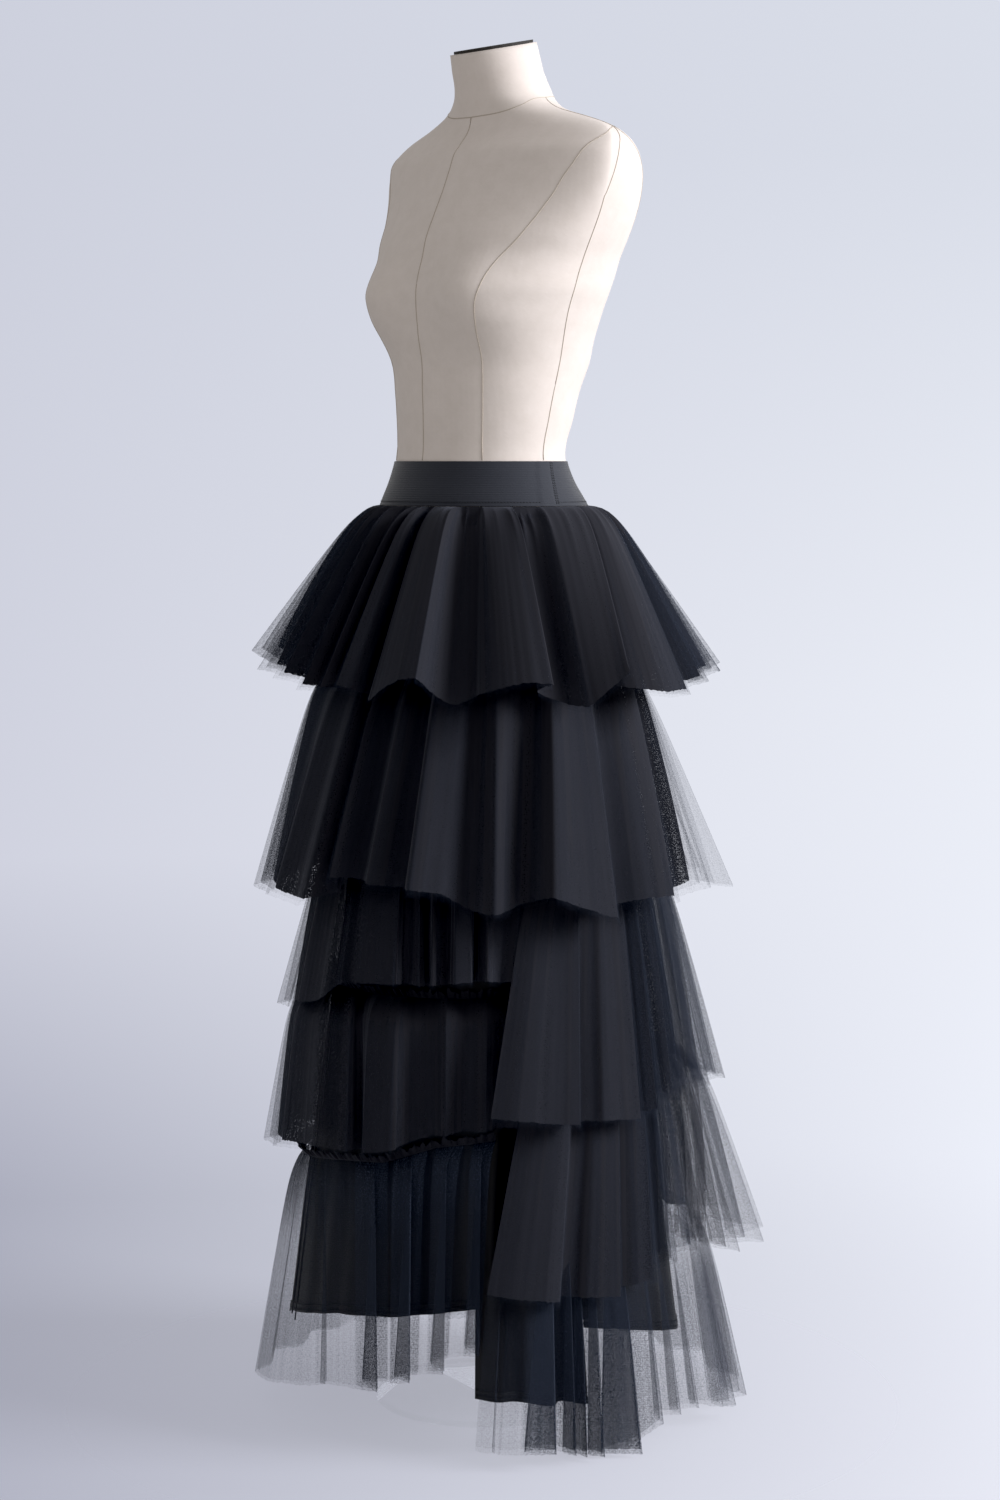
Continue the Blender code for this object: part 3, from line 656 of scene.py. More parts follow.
waistband = {
    "columns": 240,
    "rows": 90,
    "hiddenRows": 4,  # of the turned edges, behind the band
    "ribs": 20,  # ribs across the band, so 2.5 mm each
    "ribDepth": 0.00028,
    "thickness": 0.0012,
    "patternRadius": 0.105,  # from bearings to lengths along the elastic
    "joinRaise": 0.0008,  # the band's end lies on its other end
    "joinBearings": (91.5, 87.5),  # the join's bearing at the top and at the bottom
    "joinLap": 10.0,  # degrees
    "joinEdge": 0.8,  # degrees over which it steps up
    "stitchDrop": 0.0455,
    "stitchPitch": 0.0034,
    "stitchLength": 0.62,  # share of the pitch
    "stitchRise": (0.0002, 0.0006, 0.0006, 0.0002),  # a stitch's points above the band
    "stitchRound": 0.118,  # the band's radius there
    "zigzagSides": (-0.5, 0.9),  # degrees to each side of the join
    "zigzagEnds": (0.001, 0.002),  # from the band's top and bottom edges
    "zigzagPitch": 0.0028,
    "zigzagStep": (0.35, 0.0018),  # each stitch in degrees and down
    "zigzagRise": 0.0011,
    "threadRadius": 0.00028,
    "flat": (0.70, 0.05),
}


def makeWaistband():
    bearings = np.arange(waistband["columns"]) * 360.0 / waistband["columns"]
    drops = np.linspace(0, bandDepth, waistband["rows"])
    drop, bearing = drops[:, None] + 0 * bearings, bearings[None, :] + 0 * drops[:, None]
    outer = formRadius(bearing, drop, formClearance + waistband["thickness"])
    ribs = 0.5 - 0.5 * np.cos(2 * math.pi * waistband["ribs"] * drop / bandDepth)
    outer += waistband["ribDepth"] * ribs
    top, bottom = waistband["joinBearings"]
    past = top + (bottom - top) * drop / bandDepth - bearing
    lap, edge = waistband["joinLap"], waistband["joinEdge"]
    outer += waistband["joinRaise"] * easeIn(past / edge) * easeIn((lap - past) / edge)
    inner = formRadius(bearing, drop, formClearance)
    outside, inside = pointsAt(bearing, outer, drop), pointsAt(bearing, inner, drop)
    hidden = waistband["hiddenRows"]
    grid = np.concatenate([inside[hidden::-1], outside, inside[:-hidden - 1:-1]])
    lengths = np.cumsum(np.linalg.norm(np.diff(grid[:, 0], axis=0, prepend=grid[:1, 0]), axis=1))
    along = np.radians(bearings) * waistband["patternRadius"]
    uv = np.stack([along[None, :] + 0 * lengths[:, None], lengths[:, None] + 0 * along], axis=-1)
    band = gridPiece("waistband_elastic", grid, materials["elastic"], closed=True, uv=uv)
    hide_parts("waistband")


def makeBandStitches():
    # a row of stitches near the bottom edge, and the zigzag that joins the band's ends
    paths = []
    outset = formClearance + waistband["thickness"]
    pitch = math.degrees(waistband["stitchPitch"] / waistband["stitchRound"])
    rise = np.array(waistband["stitchRise"])
    drops = np.full(4, waistband["stitchDrop"])
    for start in np.arange(0, 360, pitch):
        bearing = start + np.linspace(0, 1, 4) * pitch * waistband["stitchLength"]
        radius = formRadius(bearing, drops, outset) + rise
        paths.append(pointsAt(bearing, radius, drops))
    top, bottom = waistband["joinBearings"]
    aside, down = waistband["zigzagStep"]
    fromTop, fromBottom = waistband["zigzagEnds"]
    for side in waistband["zigzagSides"]:
        for drop in np.arange(fromTop, bandDepth - fromBottom, waistband["zigzagPitch"]):
            bearing = top + (bottom - top) * drop / bandDepth + side + np.linspace(0, 1, 3) * aside
            drops = drop + np.linspace(0, 1, 3) * down
            radius = formRadius(bearing, drops, outset) + waistband["zigzagRise"]
            paths.append(pointsAt(bearing, radius, drops))
    thread = materials["blackThread"]
    stitches = tubePiece("waistband_stitches", paths, waistband["threadRadius"], thread, sides=5)


makeWaistband()
makeBandStitches()
for name in lining["panels"]:
    makeLiningPanel(name)
    makeLiningRows(name)
print("waistband and lining made")

# Each flounce has the same few facts. "cut" is one net's width, length and area, "pinchDepth" how far its
# gathers stand out, "heading" the height of a raw edge above its seam, and "topCover" how thick the net seems
# at its top. "seam" is (bearing, drop, loft), where loft is how much of its reach the net springs out just
# below the seam. "hem" is the hem's path from above, corner by corner, as (bearing, radius, drop, bearing at
# the seam, crease): crests stand far out and valleys near, and crease is 0 for a round bend, 1 for a sharp
# one and the net's own soft bend where a row gives none. A closed flounce goes right round.
# "layers" is, from the outside in, (material, drop offset, ripple, seed, reach): ripple is the depth of the
# small folds at the hem, and reach is (bearing, share of the outer layer's reach, thickness of the net).

underBand = 0.0503  # drop of the first seam, a sewing gap below the waistband

shortOuterNets = [  # of the front's third and fourth tiers
    ("single", 0.000, 0.0006, 1, [(-42, 1.0, 1.6), (-12, 1.0, 0.4), (60, 1.0, 0.3)]),
    ("sheer", -0.003, 0.0005, 2, [(-45, 0.85, 1.2), (-10, 0.94, 0.4), (60, 0.95, 0.3)]),
]


def lappedReach(start, share, thin):
    # the fifth front tier is thick where its folds lap, as (first, last, thickness), and thin before each
    laps = [(16, 22.3, 2.0), (24.5, 30.3, 1.8), (34, 38.4, 1.6), (43.4, 47.4, 1.5)]
    gaps = [(15.7,), (22.8, 24), (30.8, 33.6), (38.9, 43)]
    rows = [start]
    for (first, last, thick), gap, single in zip(laps, gaps, thin):
        rows += [(at, share, single) for at in gap] + [(first, share, thick), (last, share, thick)]
    return rows


flounces = {
    "tier_1": dict(
        closed=True, pinchDepth=0.0070, cut=(1.95, 0.26, 0.35),
        seam=[
            (-42, underBand, 0.11), (20, underBand, 0.16), (48, underBand, 0.17), (138, underBand, 0.13),
            (318, underBand, 0.11),
        ],
        hem=[
            (-41, 0.266, 0.217, -42, 0.4), (-33, 0.230, 0.238, -36), (-26, 0.264, 0.234, -29, 0.8),
            (-20, 0.222, 0.244, -23), (-14, 0.264, 0.240, -17, 0.9), (-9, 0.212, 0.252, -13),
            (-3, 0.264, 0.250, -10, 0.9), (-3, 0.209, 0.256, -3), (3, 0.260, 0.252, 6, 0.9),
            (4, 0.209, 0.246, 9), (8, 0.256, 0.248, 12, 0.9), (12, 0.252, 0.252, 14, 0.4),
            (11, 0.209, 0.262, 17), (16.5, 0.243, 0.265, 20.6, 1.0), (28, 0.262, 0.239, 28, 0.1),
            (32, 0.264, 0.237, 33.3, 1.0), (41, 0.209, 0.268, 41, 0.1), (45, 0.209, 0.262, 45),
            (50, 0.242, 0.252, 48.5, 0.3), (60, 0.258, 0.242, 57, 0.1), (65, 0.264, 0.244, 61.6, 1.0),
            (65.5, 0.209, 0.257, 65), (71, 0.210, 0.266, 69), (77, 0.241, 0.271, 78, 0.6),
            (86, 0.264, 0.233, 99.5, 1.0), (86.5, 0.208, 0.249, 103), (93, 0.244, 0.254, 107, 0.4),
            (99, 0.264, 0.258, 114), (107, 0.270, 0.257, 122, 0.9), (111, 0.230, 0.259, 125),
            (118, 0.271, 0.246, 129, 0.9), (123, 0.242, 0.250, 132), (130, 0.274, 0.238, 136, 0.9),
            (135, 0.248, 0.242, 138), (140, 0.275, 0.232, 142, 0.6), (149, 0.236, 0.256, 150),
            (158, 0.264, 0.240, 158, 0.8), (166, 0.220, 0.262, 167), (176, 0.254, 0.243, 176, 0.3),
            (183, 0.261, 0.240, 182, 0.9), (187, 0.216, 0.262, 188), (197, 0.220, 0.266, 197),
            (207, 0.252, 0.243, 206), (213, 0.260, 0.240, 211, 0.9), (217, 0.216, 0.260, 218),
            (230, 0.230, 0.268, 229, 0.4), (240, 0.260, 0.238, 240, 0.9), (247, 0.220, 0.262, 247),
            (257, 0.260, 0.242, 255, 0.8), (264, 0.224, 0.258, 265), (273, 0.262, 0.240, 271, 0.8),
            (281, 0.226, 0.252, 281), (290, 0.263, 0.236, 289, 0.8), (298, 0.232, 0.244, 298),
            (306, 0.264, 0.228, 306, 0.6), (312, 0.238, 0.236, 312),
        ],
        layers=[
            ("single", 0.000, 0.0008, 1, [
                (-42, 1.0, 1.6), (-15, 1.0, 0.4), (100, 1.0, 0.4), (122, 1.0, 1.5), (200, 1.0, 1.0),
                (300, 1.0, 1.2),
            ]),
            ("sheer", -0.003, 0.0006, 2, [
                (-48, 0.90, 1.4), (-30, 0.92, 1.0), (-10, 0.96, 0.3), (100, 0.98, 0.3), (120, 0.94, 1.1),
                (150, 0.91, 1.1), (200, 0.97, 1.0), (300, 0.91, 1.2),
            ]),
            ("dense", -0.006, 0.0002, 3, [
                (-55, 0.72, 0.4), (-42, 0.76, 0.35), (-30, 0.82, 0.4), (-18, 0.90, 0.8), (0, 0.94, 1.0),
                (30, 0.97, 1.0), (95, 0.97, 1.0), (112, 0.93, 1.0), (126, 0.88, 0.9), (142, 0.84, 0.8),
                (165, 0.90, 1.0), (200, 0.96, 1.0), (280, 0.90, 1.0),
            ]),
        ],
    ),
    "tier_2": dict(
        closed=True, pinchDepth=0.0030, cut=(1.95, 0.3, 0.47),
        seam=[(-42, 0.215, 0.40), (48, 0.215, 0.30), (138, 0.215, 0.14), (318, 0.215, 0.40)],
        hem=[
            (-42, 0.266, 0.489, -42, 0.4), (-31, 0.249, 0.492, -31), (-20, 0.263, 0.486, -18, 0.4),
            (-10, 0.254, 0.490, -11, 0.1), (-3, 0.262, 0.489, -6, 0.4), (1, 0.222, 0.482, 0, 0.1),
            (7, 0.264, 0.461, 5, 0.6), (10.5, 0.224, 0.465, 13, 0.1), (18, 0.252, 0.466, 22),
            (25, 0.224, 0.470, 29.5, 0.1), (30, 0.268, 0.467, 35, 0.5), (38, 0.246, 0.474, 43.5),
            (43.5, 0.223, 0.491, 49, 0.1), (51, 0.256, 0.494, 55, 0.3), (59, 0.222, 0.488, 68.5, 0.1),
            (65, 0.269, 0.475, 76, 0.5), (75, 0.262, 0.492, 82, 0.1), (83, 0.263, 0.503, 87, 0.7),
            (87, 0.230, 0.495, 95), (95, 0.252, 0.488, 106), (103, 0.269, 0.487, 118, 0.5),
            (107, 0.252, 0.486, 122), (112, 0.284, 0.475, 126, 0.9), (120, 0.270, 0.478, 130, 0.1),
            (130, 0.290, 0.486, 135, 0.4), (139, 0.288, 0.490, 140, 0.4), (148, 0.264, 0.492, 148),
            (158, 0.277, 0.482, 158, 0.8), (167, 0.250, 0.492, 168), (178, 0.262, 0.484, 176, 0.3),
            (184, 0.267, 0.478, 182, 0.9), (188, 0.242, 0.490, 190), (200, 0.244, 0.494, 201),
            (212, 0.264, 0.480, 211, 0.8), (220, 0.240, 0.490, 221), (232, 0.256, 0.486, 230, 0.3),
            (240, 0.265, 0.474, 237, 0.9), (244, 0.242, 0.488, 245), (256, 0.246, 0.492, 256),
            (267, 0.268, 0.480, 266, 0.8), (276, 0.246, 0.488, 277), (287, 0.268, 0.482, 286, 0.8),
            (295, 0.247, 0.490, 295), (303, 0.266, 0.486, 303, 0.7), (311, 0.250, 0.490, 311),
        ],
        layers=[
            ("single", 0.000, 0.0007, 1, [
                (-42, 1.0, 1.7), (-15, 1.0, 0.4), (95, 1.0, 0.4), (115, 1.0, 0.8), (200, 1.0, 1.0),
                (300, 1.0, 1.2),
            ]),
            ("sheer", -0.004, 0.0007, 2, [
                (-45, 0.91, 1.9), (-20, 0.95, 0.5), (0, 0.97, 0.3), (95, 0.97, 0.4), (108, 0.90, 0.6),
                (140, 0.80, 0.4), (180, 0.94, 1.0), (300, 0.92, 1.0),
            ]),
            ("dense", -0.007, 0.0002, 3, [
                (-60, 0.72, 0.9), (-42, 0.77, 0.9), (-30, 0.85, 1.0), (-15, 0.92, 1.0), (60, 0.96, 1.0),
                (98, 0.94, 1.0), (106, 0.90, 1.0), (111, 0.82, 0.6), (115, 0.70, 0.18), (126, 0.52, 0.10),
                (140, 0.45, 0.1), (165, 0.60, 0.6), (200, 0.92, 1.0), (290, 0.84, 1.0),
            ]),
        ],
    ),
    "tier_3_front": dict(
        pinchDepth=0.0020, cut=(0.66, 0.19, 0.112),
        seam=[(0, 0.440, 0.36)],
        hem=[
            (-89.9, 0.240, 0.634, -89.9, 0.0), (-80, 0.242, 0.630, -80, 0.6), (-71, 0.226, 0.634, -72),
            (-61, 0.241, 0.630, -62, 0.6), (-51, 0.228, 0.632, -52), (-41, 0.239, 0.627, -44, 0.5),
            (-31, 0.227, 0.624, -38), (-20, 0.238, 0.616, -30, 0.5), (-8, 0.231, 0.607, -21),
            (2, 0.238, 0.588, -12, 0.3), (5, 0.237, 0.580, -9, 0.9), (14, 0.236, 0.577, 0, 0.1),
            (24, 0.239, 0.574, 13, 1.0), (25, 0.214, 0.576, 16), (30, 0.226, 0.577, 21, 0.7),
            (31, 0.206, 0.578, 25), (34, 0.233, 0.574, 28, 0.9), (37, 0.206, 0.576, 34),
            (40.5, 0.234, 0.571, 38, 0.9), (45, 0.230, 0.570, 43, 0.9), (45.5, 0.204, 0.572, 46),
            (49.5, 0.230, 0.569, 51, 0.9), (53, 0.214, 0.572, 60, 0.3), (57, 0.224, 0.571, 67, 0.7),
            (61.5, 0.220, 0.572, 75, 0.0),
        ],
        layers=[
            *shortOuterNets,
            ("dense", -0.005, 0.0003, 3, [
                (-90, 0.62, 0.8), (-42, 0.64, 0.7), (-20, 0.80, 0.9), (-6, 0.88, 0.9), (-2, 0.89, 0.28),
                (8, 0.90, 0.28), (12, 0.91, 1.0), (60, 0.92, 1.0),
            ]),
        ],
    ),
    "tier_4_front": dict(
        pinchDepth=0.0022, cut=(0.66, 0.21, 0.127), heading=0.013,
        seam=[(-90, 0.600, 0.52), (-25, 0.595, 0.60), (40, 0.592, 0.62), (65, 0.588, 0.55)],
        hem=[
            (-89.9, 0.254, 0.795, -89.9, 0.0), (-80, 0.258, 0.790, -80, 0.6), (-71, 0.240, 0.795, -71),
            (-61, 0.257, 0.790, -61, 0.6), (-51, 0.243, 0.793, -53), (-41, 0.256, 0.788, -45, 0.5),
            (-32, 0.242, 0.786, -39), (-22, 0.254, 0.777, -34, 0.5), (-12, 0.245, 0.772, -29),
            (2, 0.254, 0.765, -22, 0.4), (11, 0.252, 0.764, -7, 0.6), (12, 0.228, 0.764, -3),
            (16, 0.253, 0.763, 6, 0.8), (24, 0.250, 0.757, 17, 0.7), (27, 0.222, 0.751, 22),
            (34, 0.220, 0.743, 30), (38, 0.236, 0.740, 35, 0.7), (42, 0.216, 0.738, 42),
            (49, 0.230, 0.736, 50, 0.7), (53, 0.212, 0.735, 60), (58, 0.222, 0.734, 70, 0.0),
        ],
        layers=[
            *shortOuterNets,
            ("dense", -0.006, 0.0003, 3, [
                (-90, 0.64, 0.8), (-42, 0.66, 0.7), (-20, 0.81, 0.9), (-5, 0.87, 0.9), (-1, 0.88, 0.30),
                (8, 0.90, 0.30), (12, 0.91, 1.0), (60, 0.92, 1.0),
            ]),
        ],
    ),
    "tier_5_front": dict(
        pinchDepth=0.0026, cut=(0.9, 0.29, 0.24), heading=0.013, topCover=2.4,
        seam=[
            (-90, 0.802, 0.25), (-27, 0.796, 0.26), (0, 0.782, 0.32), (15, 0.777, 0.36),
            (33, 0.755, 0.38), (60, 0.742, 0.36),
        ],
        hem=[
            (-89.9, 0.265, 1.074, -89.9, 0.0), (-81, 0.272, 1.070, -82, 0.7), (-72, 0.254, 1.074, -73),
            (-62, 0.270, 1.070, -62, 0.7), (-52, 0.256, 1.072, -54), (-41, 0.268, 1.066, -44, 0.4),
            (-29, 0.258, 1.060, -38), (-12, 0.264, 1.040, -30), (3, 0.262, 1.026, -18, 0.3),
            (4, 0.252, 1.026, -15, 0.9), (2.5, 0.255, 1.026, -13, 0.9), (10, 0.262, 1.020, -5),
            (22, 0.267, 1.017, 11, 1.0), (16, 0.251, 1.014, 13, 1.0), (22.5, 0.247, 1.010, 16, 0.4),
            (25, 0.256, 1.008, 19, 0.3), (30.3, 0.262, 1.004, 25, 1.0), (24.5, 0.244, 1.006, 27, 1.0),
            (30.5, 0.242, 1.000, 30, 0.4), (38.5, 0.260, 0.992, 37, 1.0), (34, 0.240, 0.988, 39, 1.0),
            (38.5, 0.238, 0.980, 42, 0.4), (47, 0.256, 0.972, 48, 1.0), (43.4, 0.240, 0.968, 50, 1.0),
            (47.4, 0.246, 0.966, 52.5, 0.0),
        ],
        layers=[
            ("single", 0.000, 0.0005, 1, lappedReach((-42, 1.0, 1.5), 1.0, (1.0, 0.8, 0.7, 0.7))),
            ("single", -0.003, 0.0005, 2, lappedReach((-42, 0.90, 1.2), 0.93, (0.6, 0.4, 0.3, 0.3))),
        ],
    ),
    "tier_3_back": dict(
        pinchDepth=0.0022, cut=(1.08, 0.3, 0.283),
        seam=[(0, 0.440, 0.38)],
        hem=[
            (50, 0.257, 0.716, 77, 0.0), (56, 0.263, 0.718, 80), (66, 0.262, 0.724, 85),
            (72, 0.267, 0.726, 88, 0.9), (73, 0.238, 0.727, 91), (77, 0.244, 0.728, 95, 0.3),
            (80, 0.254, 0.728, 98, 0.4), (86, 0.258, 0.729, 101, 0.1), (91, 0.265, 0.730, 104, 0.9),
            (91, 0.242, 0.729, 107), (97, 0.269, 0.724, 110, 0.9), (97, 0.246, 0.716, 113),
            (104, 0.277, 0.708, 117, 0.9), (106, 0.256, 0.706, 120), (113, 0.283, 0.700, 124, 0.9),
            (117, 0.262, 0.702, 128), (126, 0.285, 0.704, 133, 0.8), (132, 0.268, 0.708, 137),
            (140, 0.282, 0.714, 142, 0.5), (149, 0.258, 0.718, 149), (159, 0.272, 0.714, 158, 0.7),
            (168, 0.250, 0.720, 168), (178, 0.268, 0.716, 177, 0.8), (186, 0.246, 0.720, 187),
            (197, 0.264, 0.714, 196, 0.8), (206, 0.244, 0.718, 206), (217, 0.262, 0.712, 216, 0.7),
            (227, 0.244, 0.716, 227), (238, 0.260, 0.710, 238, 0.8), (248, 0.243, 0.714, 248),
            (259, 0.259, 0.708, 259, 0.6), (269.9, 0.240, 0.712, 269.9, 0.0),
        ],
        layers=[
            ("single", 0.000, 0.0006, 1, [
                (50, 1.0, 0.3), (88, 1.0, 0.4), (97, 1.0, 1.0), (140, 1.0, 1.2),
            ]),
            ("sheer", -0.004, 0.0006, 2, [
                (50, 0.97, 0.3), (88, 0.95, 0.4), (97, 0.92, 1.2), (140, 0.86, 1.3), (200, 0.94, 1.0),
            ]),
            ("dense", -0.007, 0.0002, 3, [
                (50, 0.95, 1.0), (88, 0.93, 1.0), (96, 0.84, 0.6), (104, 0.74, 0.25), (140, 0.60, 0.2),
                (180, 0.80, 1.0), (220, 0.90, 1.0),
            ]),
        ],
    ),
    "tier_4_back": dict(
        pinchDepth=0.0022, cut=(1.18, 0.27, 0.276),
        seam=[(0, 0.665, 0.42)],
        hem=[
            (49, 0.267, 0.908, 75, 0.0), (55, 0.273, 0.912, 78), (66, 0.274, 0.918, 85, 0.3),
            (68, 0.250, 0.919, 88), (71, 0.252, 0.920, 91), (74, 0.264, 0.920, 94, 0.4),
            (82, 0.277, 0.921, 101, 0.9), (82.5, 0.254, 0.918, 104), (88, 0.268, 0.914, 107, 0.3),
            (92.5, 0.281, 0.910, 110, 0.9), (92.5, 0.256, 0.902, 112), (98, 0.283, 0.888, 114, 0.9),
            (98, 0.258, 0.884, 116), (105, 0.287, 0.880, 119, 0.8), (108, 0.266, 0.878, 122),
            (110.5, 0.293, 0.877, 124, 0.9), (113, 0.270, 0.884, 126), (114, 0.318, 0.890, 128, 0.9),
            (119, 0.286, 0.890, 131), (125, 0.332, 0.893, 134, 0.9), (132, 0.302, 0.895, 137),
            (139, 0.330, 0.896, 141, 0.6), (148, 0.298, 0.900, 147), (157, 0.312, 0.896, 156, 0.8),
            (166, 0.280, 0.903, 166), (177, 0.294, 0.898, 176, 0.8), (186, 0.268, 0.904, 186),
            (197, 0.284, 0.900, 196, 0.8), (206, 0.262, 0.904, 207), (218, 0.280, 0.898, 217, 0.7),
            (228, 0.260, 0.902, 228), (239, 0.276, 0.896, 239, 0.8), (249, 0.258, 0.900, 249),
            (260, 0.273, 0.894, 260, 0.6), (269.9, 0.254, 0.896, 269.9, 0.0),
        ],
        layers=[
            ("single", 0.000, 0.0006, 1, [
                (50, 1.0, 0.3), (88, 1.0, 0.4), (98, 1.0, 1.0), (140, 1.0, 0.9),
            ]),
            ("sheer", -0.004, 0.0006, 2, [
                (50, 0.97, 0.3), (88, 0.95, 0.5), (96, 0.90, 1.3), (112, 0.84, 1.1), (150, 0.72, 0.7),
                (200, 0.94, 1.0),
            ]),
            ("dense", -0.007, 0.0002, 3, [
                (50, 0.94, 1.0), (88, 0.92, 1.0), (93, 0.80, 0.5), (97, 0.64, 0.2), (104, 0.44, 0.12),
                (150, 0.32, 0.12), (180, 0.70, 1.0), (210, 0.88, 1.0),
            ]),
        ],
    ),
    "tier_5_back": dict(
        pinchDepth=0.0024, cut=(1.35, 0.24, 0.30), topCover=0.25,
        seam=[(0, 0.856, 0.44)],
        hem=[
            (46.3, 0.276, 1.072, 53.5, 0.0), (50.5, 0.281, 1.073, 56, 0.9), (50.0, 0.275, 1.073, 57, 0.9),
            (52, 0.281, 1.074, 59, 0.7), (57.5, 0.286, 1.074, 63), (64.2, 0.290, 1.075, 68, 1.0),
            (58, 0.272, 1.075, 70, 1.0), (64, 0.268, 1.076, 71, 0.4), (69, 0.286, 1.080, 73, 0.9),
            (67, 0.266, 1.080, 75, 0.4), (72, 0.284, 1.084, 76, 0.9), (70, 0.264, 1.084, 78, 0.4),
            (76, 0.284, 1.087, 80, 0.9), (74, 0.264, 1.088, 82, 0.4), (85.3, 0.292, 1.090, 87, 1.0),
            (77, 0.270, 1.088, 89, 1.0), (87, 0.272, 1.082, 92, 0.3), (92, 0.288, 1.064, 96, 0.9),
            (94, 0.268, 1.062, 99), (98, 0.290, 1.060, 102, 0.9), (99, 0.270, 1.060, 106),
            (104, 0.293, 1.060, 108, 0.9), (108, 0.272, 1.064, 113, 0.3), (114, 0.300, 1.072, 116, 0.7),
            (120, 0.306, 1.080, 121, 0.9), (121, 0.276, 1.082, 125), (130, 0.311, 1.083, 131, 0.9),
            (135, 0.284, 1.085, 136), (143, 0.306, 1.083, 143, 0.7), (152, 0.282, 1.087, 152),
            (163, 0.299, 1.082, 162, 0.8), (172, 0.274, 1.087, 172), (183, 0.292, 1.082, 182, 0.8),
            (193, 0.270, 1.086, 193), (204, 0.287, 1.080, 203, 0.8), (214, 0.267, 1.084, 214),
            (225, 0.284, 1.077, 225, 0.7), (235, 0.265, 1.081, 235), (246, 0.280, 1.073, 246, 0.8),
            (256, 0.263, 1.077, 257), (264, 0.274, 1.071, 264, 0.6), (269.9, 0.265, 1.072, 269.9, 0.0),
        ],
        layers=[
            ("single", 0.000, 0.0006, 1, [
                (46, 1.0, 0.7), (56, 1.0, 0.9), (58, 1.0, 1.7), (88, 1.0, 1.8), (96, 1.0, 1.2),
                (130, 1.0, 1.3),
            ]),
            ("sheer", -0.005, 0.0006, 2, [
                (46, 0.94, 0.25), (56, 0.94, 0.4), (58, 0.94, 1.4), (66, 0.94, 1.8), (86, 0.94, 1.8),
                (95, 0.92, 0.8), (120, 0.88, 0.8), (200, 0.92, 0.6),
            ]),
        ],
    ),
}

net = {
    "step": 0.0028,  # between columns at the hem
    "rows": 26,
    "rowGrowth": 1.4,  # above 1, the rows lie closer at the seam
    "softBend": 0.2,  # crease of a hem corner that gives none
    "sharpFold": 0.7,  # from this crease on, a gather stands at the fold's end
    "pinchSpacing": 5.5,  # degrees between the gathers at a seam
    "pinchClear": 2.0,  # degrees kept free beside a sharp fold
    "pinchSharpness": 1.0,  # degrees; half the width of a gather's ridge at the seam
    "pinchSpread": 0.03,  # below the seam, where a ridge is twice as wide
    "pinchLength": (0.015, 0.055),  # how far down a gather runs out
    "pinchSink": (0.3, 0.04),  # how deep the cloth lies between the gathers, and how far down
    "pinchStart": 0.004,  # over which the gathers rise below the stitches
    "rippleSpacing": 7.0,  # degrees between the small folds
    "rippleFiner": 0.45,  # share of that spacing, for smaller folds on them of half the depth
    "rippleGrowth": 0.6,  # below 1, they show soon below the seam
    "rippleTurn": 0.5,  # how far the small folds lean, in degrees
    "rippleShift": 1.7,  # degrees by which the lean is out of step with them
    "rippleStop": 0.03,  # of the hem's length, without leaning folds at a free edge
    "hemWobble": 0.0007,  # unevenness of the raw cut
    "springLength": 0.06,  # share of a flounce's length over which it springs away from its seam
    "reachGrowth": 0.7,  # the same for an inner layer's smaller reach
    "foldGrowth": 0.42,  # below 1, folds are deep soon below the seam
    "meanWidth": 0.10,  # along the hem
    "crestLift": 0.2,
    "steepest": 1.4,  # slope above which a fold lifts its net no more
    "leastDrop": 0.5,  # share of its drop that a lifted net keeps
    "lowestHem": 0.004,  # above the floor
    "lowestLining": 1.06,  # the drop down to which the lining holds a net off
    "hemClear": 0.004,  # between the lining and the net at the hem, at the least
    "clear": (seatGap, 0.002),  # the same at the seam, and how much more it gets down to the hem
    "creaseWidth": 0.0014,  # over which the net is crowded together at a sharp fold
    "creaseCrowd": 1.3,  # how much thicker the net is there
    "creaseGrowth": 0.3,
    "mostGathered": 3.0,  # times as much cloth as at the hem
    "streakCrowd": 0.08,  # how uneven the thickness is from thread to thread
    "streakLimits": (-0.45, 0.9),
    "topShare": 0.45,  # share of the length over which topCover fades out
    "patternShift": 0.37,  # between the patterns of two layers
}


def hemTable(flounce):
    return np.array([(*row, net["softBend"])[:5] for row in flounce["hem"]], float)


